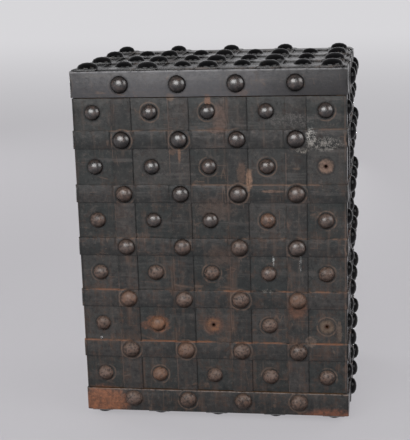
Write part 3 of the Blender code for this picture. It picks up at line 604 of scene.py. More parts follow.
def front_nail_iron():
    """Each head has a tone of its own, dust and painted light on its upper half, and painted shade round its
    rim and below.
    """
    finish, shader, place = new_finish("browned_nail_iron")
    x, _, z = axes(place)
    up = z - BASE_Z
    half_column, half_row = COLUMN_PITCH / 2, ROW_PITCH / 2
    lift = folded(up, HOOP_ROWS[0], half_row) / BIG_NAIL[0]
    aside = folded(x, FRONT_UPRIGHTS[0], half_column) / BIG_NAIL[0]
    column, row = (x - FRONT_UPRIGHTS[0]) / half_column + 0.5, (up - HOOP_ROWS[0]) / half_row + 0.5
    tone = cell_tone(place, column, row)
    patch = grain(place, 95.0, 5.0, 0.70)
    blotch = grain(place, 170.0, 4.0, 0.66, shift=(4, 4, 1))
    speck = grain(place, 520.0, 3.0, 0.6)
    facet = place.node("ShaderNodeTexVoronoi", {}, {"Vector": place, "Scale": 165.0})
    dull = falling(up + (tone - 0.5) * 0.22, HOOP_ROWS[2], HOOP_ROWS[5])
    # dust and painted light: the upper left half of each head paler
    dust_and_painted_light = rising(lift * 0.8 - aside * 0.3 + (blotch - 0.5) * 2.4, 0.05, 0.80) * (0.14 + 0.44 * dull)
    # painted shade: a dark ring round the rim of each head, less on the dull ones
    rim = rising(span(aside, lift) + (patch - 0.5) * 0.3, 0.74, 0.98) * (0.85 - 0.60 * dull)
    # painted shade: the lower half of each head darker
    shaded = falling(lift - aside * 0.30 + (patch - 0.5) * 0.8, -0.85, 0.10) * (0.85 - 0.10 * dull)
    painted_rim_and_under_shade = rim | shaded
    rusting = []
    for along, height, strength in RUSTY_NAILS:
        near = falling(span(x - along, up - height), BIG_NAIL[0], BIG_NAIL[0] * 1.2)
        rusting.append((near * strength * rising(patch, 0.34, 0.54), (124, 88, 66)))
    colour = layered(
        blend(dull, (38, 34, 33), blend(tone, (86, 70, 62), (110, 91, 82))),
        (rising(patch, 0.48, 0.60) * (0.35 + 0.35 * dull), (92, 68, 56)),
        (falling(blotch, 0.40, 0.50) * (0.55 + 0.20 * dull), (24, 22, 21)),
        (dust_and_painted_light, (107, 90, 80)),
        (rising(blotch, 0.60, 0.70) * (0.15 + 0.30 * dull), (138, 122, 112)),
        (rising(speck, 0.58, 0.70) * (0.15 + 0.25 * dull), (126, 112, 103)),
        *rusting,
        # painted shade on the rims and lower halves of the heads
        (painted_rim_and_under_shade, blend(dull, (22, 20, 20), (38, 30, 26))),
    )
    rough = 0.23 + 0.24 * dull * rising(tone, 0.05, 0.35) + 0.14 * rising(patch, 0.42, 0.62)
    plug(
        shader, Base_Color=colour, Roughness=rough, Metallic=painted_rim_and_under_shade * 0.9, Specular_IOR_Level=0.40,
        Normal=dented((patch * 0.5 + facet * 0.3 + speck * 0.2) * (0.30 + 0.36 * dull), 0.75, 0.0042),
        Coat_Weight=(1 - dull) * (1 - painted_rim_and_under_shade) * 0.9, Coat_Roughness=0.27, Coat_IOR=1.7,
    )
    return finish


FRONT_NAIL = front_nail_iron()
print("rusty nails:", len(RUSTY_NAILS))


# %% Black iron
def black_iron():
    """Old black paint on sheets and straps: dust on top, rust along the straps, wear at the corners, and a
    painted highlight on worn front edges.
    """
    finish, shader, place = new_finish("black_painted_iron")
    x, y, z = axes(place)
    up = z - BASE_Z
    cloud = grain(place, 8.0, 4.0, shift=(5, 1, 2))
    patch = grain(place, 60.0, 5.0, 0.66)
    speck = grain(place, 360.0, 3.0)
    run = grain(place, 70.0, 4.0, 0.6, stretch=(1, 1, 0.05), shift=(2, 8, 0))
    on_top = rising(z, TOP_Z - SHEET, TOP_Z)
    dust = on_top * rising(cloud * 0.5 + patch * 0.5, 0.42, 0.62)
    upper_edge = abs(folded(up, HOOP_ROWS[0], ROW_PITCH) - HOOP_WIDTH / 2)
    hem = falling(upper_edge, 0.0006, 0.0030) * rising(patch, 0.40, 0.56)
    hem = hem * falling(up, HEAD_LOW - SEAT, HEAD_LOW)
    corner = rising(abs(x), HALF_WIDTH - 0.003, HALF_WIDTH) * rising(abs(y), HALF_DEPTH - 0.003, HALF_DEPTH)
    scratches = hair_lines(place, 24.0, (1, 1, 0.07), (3, 6, 2), 0.006)
    scratches = scratches | hair_lines(place, 20.0, (0.09, 0.09, 1), (7, 2, 5), 0.005)
    # worn bare along the front edges of the sides, and painted as a pale highlight line there
    wear_and_edge_highlight = falling(y + HALF_DEPTH + (patch - 0.5) * 0.004, 0.0015, 0.0050) * rising(cloud, 0.30, 0.50)
    colour = layered(
        blend(rising(cloud, 0.42, 0.70) * 0.7, (16, 16, 18), (40, 39, 40)),
        (rising(run, 0.55, 0.70) * 0.40, (70, 65, 62)),
        (rising(patch * 0.6 + cloud * 0.4, 0.52, 0.62) * 0.60, (78, 59, 48)),
        (dust * 0.22, (84, 80, 77)),
        (hem * 0.65, blend(rising(cloud, 0.48, 0.62), (104, 90, 80), RUST)),
        (corner * rising(patch, 0.42, 0.58) * 0.6, (104, 98, 93)),
        (scratches * rising(cloud, 0.44, 0.60) * 0.35, (112, 104, 98)),
        (rising(speck, 0.66, 0.80) * 0.25, (104, 101, 97)),
        (wear_and_edge_highlight * falling(z, TOP_Z - SHEET, TOP_Z) * 0.8, (128, 128, 128)),
    )
    rough = 0.20 + 0.12 * rising(cloud, 0.4, 0.7) + 0.12 * rising(patch, 0.48, 0.72) + 0.12 * dust
    plug(
        shader, Base_Color=colour, Roughness=rough * (1 - 0.30 * on_top), Specular_IOR_Level=0.55,
        Normal=dented(cloud * 0.6 + patch * 0.3 + speck * 0.1, 0.60, 0.0020),
    )
    return finish


def black_nail_iron():
    """The same paint on the nails, glossy still and only chipped here and there."""
    finish, shader, place = new_finish("black_painted_nails")
    worn_side = rising(abs(axes(place)[X_AXIS]), HALF_WIDTH - SHEET, HALF_WIDTH)
    cloud = grain(place, 30.0, 3.0, shift=(5, 1, 2))
    chip = grain(place, 140.0, 5.0, 0.68)
    speck = grain(place, 420.0, 3.0)
    colour = layered(
        blend(rising(cloud, 0.45, 0.70) * 0.6, (6, 6, 7), (20, 19, 20)),
        (rising(chip, 0.62, 0.70) * 0.5, (70, 54, 45)),
        (rising(speck, 0.68, 0.80) * 0.2, (100, 97, 93)),
    )
    rough = 0.08 + 0.08 * rising(cloud, 0.45, 0.70) + 0.25 * rising(chip, 0.60, 0.70)
    plug(
        shader, Base_Color=colour, Roughness=rough,
        Normal=dented(cloud * 0.7 + chip * 0.3, 0.20, 0.0020), Specular_IOR_Level=0.40,
        Metallic=worn_side * 0.45, Specular_Tint=(0.6, 0.6, 0.6, 1.0),
    )
    return finish


BLACK = (black_iron(), black_nail_iron())
print("black finishes:", [finish.name for finish in BLACK])

# %% Oak
PLANK_WIDTH = 0.118
FIBRE_STRETCH = 0.055
FIGURE_STRETCH = 0.16
GOLDEN_STEP = 0.618


def aged_oak(name, along, across):
    """Oak whose grain runs along one axis, with a plank seam now and then across another."""
    finish, shader, place = new_finish(name)
    coordinates = axes(place)
    stretch = [1.0, 1.0, 1.0]
    stretch[along] = FIBRE_STRETCH
    fibre = grain(place, 210.0, 5.0, 0.65, stretch=tuple(stretch))
    stretch[along] = FIGURE_STRETCH
    figure = grain(place, 24.0, 4.0, 0.6, stretch=tuple(stretch))
    board = coordinates[across] / PLANK_WIDTH
    plank = board.maths("FLOOR", board)
    tone = plank.maths("FRACT", plank * GOLDEN_STEP)
    seam = rising(abs(board.maths("FRACT", board) - 0.5), 0.488, 0.498)
    sooty = rising(abs(coordinates[X_AXIS]), HALF_WIDTH - 0.014, HALF_WIDTH - 0.006)
    colour = layered(
        blend(rising(figure, 0.35, 0.65), (92, 66, 44), (122, 90, 60)),
        (rising(fibre, 0.50, 0.70) * 0.6, (62, 43, 29)),
        (tone * 0.35, (78, 56, 40)),
        (seam * 0.9, (24, 17, 12)),
        (sooty * 0.85, (22, 18, 15)),
    )
    plug(
        shader, Base_Color=colour, Roughness=0.56 + 0.20 * fibre,
        Normal=dented(figure * 0.2 + fibre * 0.5 - seam * 0.8, 0.6, 0.0012), Specular_IOR_Level=0.35,
    )
    return finish


OAK_UPRIGHT_SIDE = aged_oak("oak_side_planks", Z_AXIS, Y_AXIS)
OAK_UPRIGHT_BACK = aged_oak("oak_back_planks", Z_AXIS, X_AXIS)
OAK_LYING = aged_oak("oak_lying_planks", X_AXIS, Y_AXIS)
OAK_LEDGE = aged_oak("oak_ledges", Y_AXIS, X_AXIS)
print("planks:", PLANK_WIDTH, "m wide")


# %% Bare iron
def bare_iron(name, shade, warm, gloss):
    finish, shader, place = new_finish(name)
    cloud = grain(place, 16.0, 4.0)
    patch = grain(place, 85.0, 5.0, 0.62)
    filed = grain(place, 520.0, 2.0, stretch=(0.08, 1, 1))
    streak = grain(place, 60.0, 4.0, 0.65, stretch=(1, 1, 0.06), shift=(1, 4, 0))
    scratches = hair_lines(place, 22.0, (1, 1, 0.09), (2, 5, 1), 0.006)
    scratches = scratches | hair_lines(place, 26.0, (0.08, 1, 1), (6, 1, 3), 0.005)
    rusted = rising(patch, 0.56, 0.74)
    colour = layered(
        blend(rising(cloud, 0.35, 0.68), shade, warm),
        (rising(streak, 0.53, 0.68) * 0.45, (66, 56, 50)),
        (rusted * 0.7, (104, 70, 50)),
        (scratches * rising(patch, 0.44, 0.56) * 0.45, (158, 152, 145)),
    )
    plug(
        shader, Base_Color=colour, Metallic=0.75 - 0.5 * rusted,
        Roughness=gloss + 0.22 * rising(patch, 0.45, 0.75) + 0.10 * filed,
        Normal=dented(patch * 0.6 + filed * 0.4, 0.35, 0.0010),
    )
    return finish


LOCK_IRON = bare_iron("filed_lock_iron", (126, 122, 117), (104, 96, 88), 0.34)
LINING_IRON = bare_iron("browned_lining_iron", (92, 86, 80), (78, 68, 61), 0.44)
print("bare iron:", LOCK_IRON.name, "and", LINING_IRON.name)

# %% [markdown]
# ## Making a piece
#
# A piece is modelled in a bmesh, in the frame's own metres. It is then turned into an object at the
# origin, shaded smooth with crisp edges where faces meet sharply, and hung on the body that carries it,
# while the solid that it stands for is hidden. Doing this in one helper keeps every piece the same.

# %% From bmesh to piece
SHARP_ANGLE = math.radians(38)


def mesh_of(shape, name):
    mesh = bpy.data.meshes.new(name)
    shape.to_mesh(mesh)
    shape.free()
    return mesh


def finish_piece(name, shape, finishes, body, node, sharp=SHARP_ANGLE):
    bmesh.ops.recalc_face_normals(shape, faces=shape.faces)
    mesh = mesh_of(shape, name)
    mesh.shade_smooth()
    mesh.set_sharp_from_angle(angle=sharp)
    for finish in finishes:
        mesh.materials.append(finish)
    piece = placed(name, mesh)
    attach(piece, body)
    if node:
        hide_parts(node)
    return piece


def join(shape, part, finish=0):
    """Adds one bmesh to another. Its faces get a place in the piece's finishes, or keep theirs if None."""
    held = mesh_of(part, "held")
    first = len(shape.faces)
    shape.from_mesh(held)
    bpy.data.meshes.remove(held)
    shape.faces.ensure_lookup_table()
    if finish is not None:
        for face in shape.faces[first:]:
            face.material_index = finish


def fresh(part, finish=0):
    """A part in a bmesh of its own, where points added later come last in its list."""
    shape = bmesh.new()
    join(shape, part, finish)
    return shape


# %% [markdown]
# ## Nails
#
# A nail head is a turned shape, so half its outline is drawn and spun round. It has only a few dozen faces,
# because there are some two hundred and seventy of them. Each copy is turned, tilted and sized a little
# differently, as hand-forged heads are. The random numbers start from a fixed seed, so the box comes out
# the same each time.

# %% One nail head
NAIL_SEGMENTS = 16
NAIL_OUTLINE = ((1.0, -0.045), (0.985, 0.15), (0.84, 0.56), (0.47, 0.89), (0.0, 1.0))


def spun(outline, segments):
    """A closed turned shape about the Z axis, from an outline of (radius, height)."""
    shape = bmesh.new()
    corners = [shape.verts.new((radius, 0, height)) for radius, height in outline]
    lines = [shape.edges.new(pair) for pair in zip(corners, corners[1:])]
    bmesh.ops.spin(
        shape, geom=corners + lines, cent=(0, 0, 0), axis=(0, 0, 1), angle=2 * math.pi,
        steps=segments, use_merge=True,
    )
    bmesh.ops.remove_doubles(shape, verts=shape.verts, dist=1e-6)
    bmesh.ops.holes_fill(shape, edges=[edge for edge in shape.edges if edge.is_boundary], sides=0)
    bmesh.ops.recalc_face_normals(shape, faces=shape.faces)
    return shape


NAIL_HEAD = mesh_of(spun(NAIL_OUTLINE, NAIL_SEGMENTS), "nail_head")
print("nail head:", len(NAIL_HEAD.polygons), "faces")

# %% Driving nails
FORGED_SIZE = 0.030
FORGED_OVAL = 0.97
FORGED_LOW = 0.93
FORGED_TILT = math.radians(2.2)
hand = random.Random(1740)
driven = []


def drive_nails(shape, side, seats, size, out, finish):
    """Adds a nail head at each seat (along, up), on what lies at that height above the sheet."""
    radius, height = size
    for along, up in seats:
        first_vert, first_face = len(shape.verts), len(shape.faces)
        shape.from_mesh(NAIL_HEAD)
        shape.verts.ensure_lookup_table()
        shape.faces.ensure_lookup_table()
        wide = radius * (1 + hand.uniform(-FORGED_SIZE, FORGED_SIZE / 2))
        narrow, low = wide * hand.uniform(FORGED_OVAL, 1.0), height * hand.uniform(FORGED_LOW, 1.0)
        turned = Matrix.Rotation(hand.uniform(0, math.tau), 4, "Z")
        tilted = Matrix.Rotation(hand.gauss(0, FORGED_TILT), 4, "X")
        tilted = tilted @ Matrix.Rotation(hand.gauss(0, FORGED_TILT), 4, "Y")
        place = side.matrix(along, up, out) @ tilted @ turned @ Matrix.Diagonal((wide, narrow, low, 1))
        bmesh.ops.transform(shape, matrix=place, verts=shape.verts[first_vert:])
        for face in shape.faces[first_face:]:
            face.material_index = finish
        driven.append((along, up))


# %% [markdown]
# ## Sheets and flat straps
#
# A sheet starts as a grid, which gets its thickness from solidify and its worn rim from a bevel. The grid's
# many points let it carry the shallow dents of a hammered sheet. A flat strap is made the same way, only
# narrower. Dents could be left to the shader, but real ones bend the reflections.

# %% Plates
GRID_STEP = 0.022
RIM = 0.0006
RIM_ANGLE = math.radians(55)


def soften(shape, width=RIM, angle=RIM_ANGLE, segments=2):
    """Rounds every edge at which two faces meet more sharply than the angle."""
    sharp = [edge for edge in shape.edges if edge.is_manifold and edge.calc_face_angle() > angle]
    bmesh.ops.bevel(
        shape, geom=sharp, offset=width, offset_type="OFFSET", affect="EDGES", segments=segments,
        profile=0.5, material=-1, clamp_overlap=True,
    )


def waver(shape, size, reach):
    """Moves points by smooth random steps. Size is the step along each axis, reach the length of a wave."""
    for vert in shape.verts:
        step = noise.noise_vector(vert.co / reach)
        vert.co += Vector(size) * step


def cut_notch(shape, edge, low, high, keep_below):
    """Takes out of a flat grid what lies beyond an edge, between two heights."""
    for place, way in (((edge, 0, 0), (1, 0, 0)), ((0, low, 0), (0, 1, 0)), ((0, high, 0), (0, 1, 0))):
        everything = shape.verts[:] + shape.edges[:] + shape.faces[:]
        bmesh.ops.bisect_plane(shape, geom=everything, dist=1e-7, plane_co=place, plane_no=way)
    gone = []
    for face in shape.faces:
        middle = face.calc_center_median()
        is_beyond = middle.x > edge if keep_below else middle.x < edge
        if is_beyond and low < middle.y < high:
            gone.append(face)
    bmesh.ops.delete(shape, geom=gone, context="FACES")


def plate(along, up, thickness, notch=None):
    """A thin plate in a side's own axes, with its outer face at a height of zero."""
    (left, right), (low, high) = along, up
    shape = bmesh.new()
    bmesh.ops.create_grid(
        shape, x_segments=max(2, round((right - left) / GRID_STEP)),
        y_segments=max(2, round((high - low) / GRID_STEP)), size=0.5,
    )
    bmesh.ops.scale(shape, vec=(right - left, high - low, 1), verts=shape.verts)
    bmesh.ops.translate(shape, vec=((left + right) / 2, (low + high) / 2, 0), verts=shape.verts)
    if notch:
        cut_notch(shape, *notch)
    bmesh.ops.recalc_face_normals(shape, faces=shape.faces)
    if shape.faces[:][0].normal.z < 0:
        bmesh.ops.reverse_faces(shape, faces=shape.faces)
    bmesh.ops.solidify(shape, geom=shape.faces[:], thickness=thickness)
    soften(shape)
    return shape


def laid(shape, side, out=0.0):
    """Moves a shape from a side's own axes to its place on that side."""
    bmesh.ops.transform(shape, matrix=side.matrix(0, 0, out), verts=shape.verts)
    return shape


# %% [markdown]
# ## Holes
#
# A few nails have dropped out and left their holes, and the keyhole goes through a strap, an upright and
# the sheet behind them. Holes are cut with a boolean, which needs a plain closed shape, so each plate is
# pierced before its nails are driven. The key's way is a round eye over a slot.

# %% Cutting holes
DRILL_LENGTH = 0.040
DRILL_SEGMENTS = 12
TO_X = Matrix.Rotation(math.pi / 2, 4, "Y")
TO_Y = Matrix.Rotation(math.pi / 2, 4, "X")


def pierced(shape, drills):
    """The same shape with the drills cut out of it for good."""
    objects = []
    for number, part in enumerate([shape, *drills]):
        mesh = mesh_of(part, f"cut_{number}")
        objects.append(placed(mesh.name, mesh))
    for tool in objects[1:]:
        boolean = objects[0].modifiers.new("hole", "BOOLEAN")
        boolean.operation = "DIFFERENCE"
        boolean.solver = "EXACT"
        boolean.object = tool
    bpy.context.view_layer.update()
    cut = bmesh.new()
    cut.from_object(objects[0], bpy.context.evaluated_depsgraph_get())
    for used in objects:
        mesh = used.data
        bpy.data.objects.remove(used)
        bpy.data.meshes.remove(mesh)
    return cut


def round_drill(middle, turn, radius, segments=DRILL_SEGMENTS):
    shape = bmesh.new()
    bmesh.ops.create_cone(
        shape, cap_ends=True, segments=segments, radius1=radius, radius2=radius, depth=DRILL_LENGTH,
        matrix=Matrix.Translation(middle) @ turn,
    )
    return shape


# %% The key's way
KEYHOLE_COLUMN, KEYHOLE_ROW = 3, 3
KEYHOLE_X = FRONT_UPRIGHTS[KEYHOLE_COLUMN]
KEYHOLE_Z = BASE_Z + HOOP_ROWS[KEYHOLE_ROW]
EYE_RADIUS = 0.005
EYE_SEGMENTS = 20
SLOT_WIDTH = 0.006
SLOT_DROP = 0.013
PIN_RADIUS = 0.0025
PIN_LIFT = 0.014


def keyhole_drills():
    middle = Vector((KEYHOLE_X, -HALF_DEPTH, KEYHOLE_Z))
    slot = bmesh.new()
    size = Matrix.Diagonal((SLOT_WIDTH, DRILL_LENGTH, SLOT_DROP, 1))
    bmesh.ops.create_cube(
        slot, size=1, matrix=Matrix.Translation(middle - Vector((0, 0, SLOT_DROP / 2))) @ size
    )
    eye = round_drill(middle, TO_Y, EYE_RADIUS, EYE_SEGMENTS)
    pin = round_drill(middle + Vector((0, 0, PIN_LIFT)), TO_Y, PIN_RADIUS + SEAT)
    return [slot, eye, pin]


print("keyhole at", round(KEYHOLE_X, 4), round(KEYHOLE_Z, 4))

# %% [markdown]
# ## The sheets
#
# Each sheet is held by the small nails in the middle of the lattice's cells. Those on the top are a little
# broader. Three of the door's nails and one on the right side have dropped out, so only their holes are
# left.

# %% Sheets with their nails
OF_IRON, OF_NAIL, OF_FRONT, OF_FRONT_NAIL = range(4)
SHEET_DENT = (0.0002, 0.0002, 0.0005)
SHEET_WAVE = 0.085
SHANK_RADIUS = 0.0036
RIGHT_LOST = {(0, 4)}
LID_NAIL = (0.0198, SMALL_NAIL[1])
LEFT_CELLS = around(LEFT_UPRIGHTS)
RIGHT_CELLS = around(RIGHT_UPRIGHTS)
LEFT_BOARD_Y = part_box("left_board")[0].y
RIGHT_BOARD_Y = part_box("right_board")[0].y
NOTCH_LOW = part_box("bottom_board")[1].z - BASE_Z
NOTCH_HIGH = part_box("top_board")[0].z - BASE_Z


def seats_of(columns, rows, lost=()):
    return [
        (along, up)
        for column, along in enumerate(columns)
        for row, up in enumerate(rows)
        if (column, row) not in lost
    ]


def shank_drills(side, columns, lost, turn):
    return [
        round_drill(side.at(columns[column], CELL_ROWS[row], 0), turn, SHANK_RADIUS)
        for column, row in sorted(lost)
    ]


def make_sheet(
    node, side, seats, finishes=BLACK, body="case",
    notch=None, drills=(), size=SMALL_NAIL,
):
    along, up = side.extent(node)
    part = plate(along, up, SHEET, notch)
    waver(part, SHEET_DENT, SHEET_WAVE)
    shape = fresh(pierced(laid(part, side), drills))
    drive_nails(shape, side, seats, size, 0.0, OF_NAIL)
    return finish_piece(f"{node}_iron", shape, finishes, body, node)


lid_seats = seats_of(between(TOP_COLUMNS), between(TOP_ROWS))
make_sheet("top_sheet", TOP, lid_seats, size=LID_NAIL)
make_sheet("bottom_sheet", BASE, lid_seats)
make_sheet("back_sheet", BACK, seats_of(around(BACK_UPRIGHTS), CELL_ROWS))
make_sheet(
    "left_sheet", LEFT, seats_of(LEFT_CELLS, CELL_ROWS), notch=(-LEFT_BOARD_Y, NOTCH_LOW, NOTCH_HIGH, True)
)
make_sheet(
    "right_sheet", RIGHT, seats_of(RIGHT_CELLS, CELL_ROWS, RIGHT_LOST),
    notch=(RIGHT_BOARD_Y, NOTCH_LOW, NOTCH_HIGH, False),
    drills=shank_drills(RIGHT, RIGHT_CELLS, RIGHT_LOST, TO_X),
)
make_sheet(
    "door_sheet", FRONT, seats_of(FRONT_CELLS, CELL_ROWS, DOOR_LOST), (WORN_IRON, FRONT_NAIL), "door",
    drills=shank_drills(FRONT, FRONT_CELLS, DOOR_LOST, TO_Y) + keyhole_drills(),
)
print("sheets:", len(driven), "nails driven")

# %% [markdown]
# ## Upright straps
#
# These lie flat on the sheets, under the straps that cross them. Their edges wander by a fraction of a
# millimetre, because they were cut and hammered by hand.

# %% Uprights
STRAP_WANDER = (0.0005, 0.0005, 0.0002)
STRAP_WAVE = 0.060
ON_SHEET = SEAT + STRAP


def make_upright(node, side, finish, body, drills=()):
    along, up = side.extent(node)
    part = plate(along, up, STRAP)
    waver(part, STRAP_WANDER, STRAP_WAVE)
    part = pierced(laid(part, side, ON_SHEET), drills)
    return finish_piece(f"{node}_forged", part, (finish,), body, node)


uprights = []
for prefix, side, middles in (
    ("left", LEFT, LEFT_UPRIGHTS), ("right", RIGHT, RIGHT_UPRIGHTS), ("back", BACK, BACK_UPRIGHTS)
):
    for number in range(1, len(middles) + 1):
        node = f"{prefix}_upright_strap_{number}"
        uprights.append(make_upright(node, side, BLACK[OF_IRON], "case"))
for column in range(len(FRONT_UPRIGHTS)):
    node = f"door_upright_strap_{column + 1}"
    drills = keyhole_drills() if column == KEYHOLE_COLUMN else ()
    uprights.append(make_upright(node, FRONT, WORN_IRON, "door", drills))
print("uprights:", len(uprights))

# %% [markdown]
# ## Straps that step over others
#
# Where a strap crosses another it is joggled: set up by one thickness and down again. Its underside is
# drawn as a line of points and swept across the strap's width, then the bends are rounded and the strap
# gets its thickness. A curve with a flat bevel could follow the same line, but it would twist at the
# corners.

# %% Joggled straps
JOGGLE_RUN = 0.005
BEND = 0.0022
BEND_ANGLE = 0.05
BEND_SEGMENTS = 3


def joggled(start, end, crossings, half_width, step=ON_STRAP):
    """Points (along, out) of a strap's underside, from start to end."""
    way = 1 if end > start else -1
    points = [(start, SEAT)]
    near = half_width + 2 * SEAT
    far = near + JOGGLE_RUN
    for middle in sorted(crossings, reverse=way < 0):
        for along, out in ((-far, SEAT), (-near, step), (near, step), (far, SEAT)):
            points.append((middle + way * along, out))
    return points + [(end, SEAT)]


def bent_strap(points, across, outward, closed=False):
    """A strap swept from a line of points on its underside, rounded at its bends and thickened outward."""
    shape = bmesh.new()
    corners = [shape.verts.new(point) for point in points]
    pairs = list(zip(corners, corners[1:] + corners[:1]))
    lines = [shape.edges.new(pair) for pair in (pairs if closed else pairs[:-1])]
    swept = bmesh.ops.extrude_edge_only(shape, edges=lines)["geom"]
    far_side = [item for item in swept if isinstance(item, bmesh.types.BMVert)]
    bmesh.ops.translate(shape, verts=far_side, vec=across)
    shape.normal_update()
    if corners[0].link_faces[0].normal.dot(outward) < 0:
        bmesh.ops.reverse_faces(shape, faces=shape.faces)
    soften(shape, BEND, BEND_ANGLE, BEND_SEGMENTS)
    by_cuts = {}
    for edge in shape.edges:
        way = edge.verts[1].co - edge.verts[0].co
        cuts = int(way.length / GRID_STEP)
        if cuts and abs(way.dot(across)) < 1e-6:
            by_cuts.setdefault(cuts, []).append(edge)
    for cuts, edges in by_cuts.items():
        bmesh.ops.subdivide_edges(shape, edges=edges, cuts=cuts, use_grid_fill=True)
    bmesh.ops.solidify(shape, geom=shape.faces[:], thickness=-STRAP)
    soften(shape)
    return shape


# %% The door's cross straps
STRAP_RETURN = 0.038
CROSS_WANDER = (0.0004, 0.0002, 0.0006)
corner = -HALF_WIDTH - SEAT
door_path = [(corner, -STRAP_RETURN)] + joggled(corner, HALF_WIDTH, FRONT_UPRIGHTS, UPRIGHT_WIDTH / 2)
door_crosses = []
for row, middle in enumerate(DOOR_ROWS, 1):
    node = f"door_cross_strap_{row}"
    underside = [FRONT.at(along, middle - HOOP_WIDTH / 2, out) for along, out in door_path]
    part = bent_strap(underside, FRONT.w * HOOP_WIDTH, LEFT.n)
    waver(part, CROSS_WANDER, STRAP_WAVE)
    shape = fresh(pierced(part, keyhole_drills() if row == KEYHOLE_ROW else ()))
    nailed = [
        (along, middle)
        for column, along in enumerate(FRONT_UPRIGHTS)
        if (column, row) != (KEYHOLE_COLUMN, KEYHOLE_ROW)
    ]
    drive_nails(shape, FRONT, nailed, BIG_NAIL, CROSSING_TOP, OF_NAIL)
    door_crosses.append(
        finish_piece(f"{node}_forged", shape, (WORN_IRON, FRONT_NAIL), "door", node)
    )
print("cross straps:", [len(piece.data.polygons) for piece in door_crosses], "faces")

# %% [markdown]
# ## Hoops round the case
#
# The hoops run round the left side, the back and the right side, and stop at the door. The sill band and
# the head band close round the front, where they show the worn iron, so their front faces take the
# front's finish.

# %% Hoops
HOOP_WANDER = (0.0002, 0.0002, 0.0005)


def side_points(side, start, end, crossings, low):
    path = joggled(start, end, crossings, UPRIGHT_WIDTH / 2)
    return [side.at(along, low, out) for along, out in path]


def make_hoop(node, row, is_band):
    low, high = FRONT.extent(node)[UP]
    x, y = HALF_WIDTH + SEAT, HALF_DEPTH + SEAT
    points = side_points(LEFT, y if is_band else -LEFT_BOARD_Y, -y, LEFT_UPRIGHTS, low)
    points += side_points(BACK, x, -x, BACK_UPRIGHTS, low)[1:]
    points += side_points(RIGHT, y, -y if is_band else RIGHT_BOARD_Y, RIGHT_UPRIGHTS, low)[1:]
    part = bent_strap(points, FRONT.w * (high - low), LEFT.n, closed=is_band)
    waver(part, HOOP_WANDER, STRAP_WAVE)
    for face in part.faces:
        face.material_index = OF_FRONT if face.calc_center_median().y < -HALF_DEPTH else OF_IRON
    shape = fresh(part, None)
    for side, uprights in ((LEFT, LEFT_UPRIGHTS), (BACK, BACK_UPRIGHTS), (RIGHT, RIGHT_UPRIGHTS)):
        drive_nails(shape, side, seats_of(uprights, [row]), BIG_NAIL, CROSSING_TOP, OF_NAIL)
    if is_band:
        drive_nails(shape, FRONT, seats_of(FRONT_UPRIGHTS, [row]), BIG_NAIL, ON_SHEET, OF_FRONT_NAIL)
    return finish_piece(f"{node}_forged", shape, (*BLACK, WORN_IRON, FRONT_NAIL), "case", node)


hoop_nodes = ["sill_hoop", *(f"hoop_{number}" for number in range(2, 7)), "head_hoop"]
hoops = [make_hoop(node, row, "_hoop" in node) for node, row in zip(hoop_nodes, HOOP_ROWS)]
print("hoops:", [len(piece.data.polygons) for piece in hoops], "faces;", len(driven), "nails driven")

# %% [markdown]
# ## The lattices on the top and under the base
#
# Long straps run from front to back, and cross straps step over them. The whole lattice is one piece, as in
# the frame, because its straps are forged together at the crossings. On the top the nails are broader row
# by row toward the front. Under the base they reach down to the floor, and the box stands on them.

# %% Lattices
LONG_WIDTH = 0.048
CROSS_WIDTH = 0.044
FORGE_SINK = 0.0005
LATTICE_STEP = ON_SHEET - FORGE_SINK
LATTICE_TOP = LATTICE_STEP + STRAP
LID_RADII = (0.0236, 0.0230, 0.0220, 0.0204)


def make_lattice(node, side, radii, height):
    shape = bmesh.new()
    reach = HALF_DEPTH - SEAT
    for middle in TOP_COLUMNS:
        part = plate((middle - LONG_WIDTH / 2, middle + LONG_WIDTH / 2), (-reach, reach), STRAP)
        waver(part, STRAP_WANDER, STRAP_WAVE)
        join(shape, laid(part, side, ON_SHEET))
    reach = HALF_WIDTH - SEAT
    path = joggled(-reach, reach, TOP_COLUMNS, LONG_WIDTH / 2, LATTICE_STEP)
    for middle in TOP_ROWS:
        underside = [(along, middle - CROSS_WIDTH / 2, out) for along, out in path]
        part = bent_strap(underside, Vector((0, CROSS_WIDTH, 0)), Vector((0, 0, 1)))
        waver(part, STRAP_WANDER, STRAP_WAVE)
        join(shape, laid(part, side))
    for row, radius in zip(TOP_ROWS, radii):
        drive_nails(shape, side, seats_of(TOP_COLUMNS, [row]), (radius, height), LATTICE_TOP, OF_NAIL)
    return finish_piece(f"{node}_forged", shape, BLACK, "case", node)


lattices = [
    make_lattice("top_strap_lattice", TOP, LID_RADII, BIG_NAIL[1]),
    make_lattice("bottom_strap_lattice", BASE, BIG_NAIL[:1] * len(TOP_ROWS), BASE_Z - LATTICE_TOP),
]
print("lattices:", [len(piece.data.polygons) for piece in lattices], "faces;", len(driven), "nails driven")

# %% [markdown]
# ## The swinging nail
#
# One nail on the middle cross strap is false: it hangs from a pin near its upper rim and swings aside to
# bare the keyhole. It is a head like the others, joined to a short turned pin.

# %% Swinging nail
ON_CROSSING = CROSSING_TOP + SEAT
STUD = (BIG_NAIL[0], BIG_NAIL[1] - SEAT)
PIN_OUTLINE = ((PIN_RADIUS, 0.0), (PIN_RADIUS, 0.9), (PIN_RADIUS * 0.6, 1.0), (0.0, 1.0))
PIN_SEGMENTS = 12
pin_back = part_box("keyhole_stud")[1].y
pin_front = -HALF_DEPTH - ON_CROSSING - PIN_RADIUS

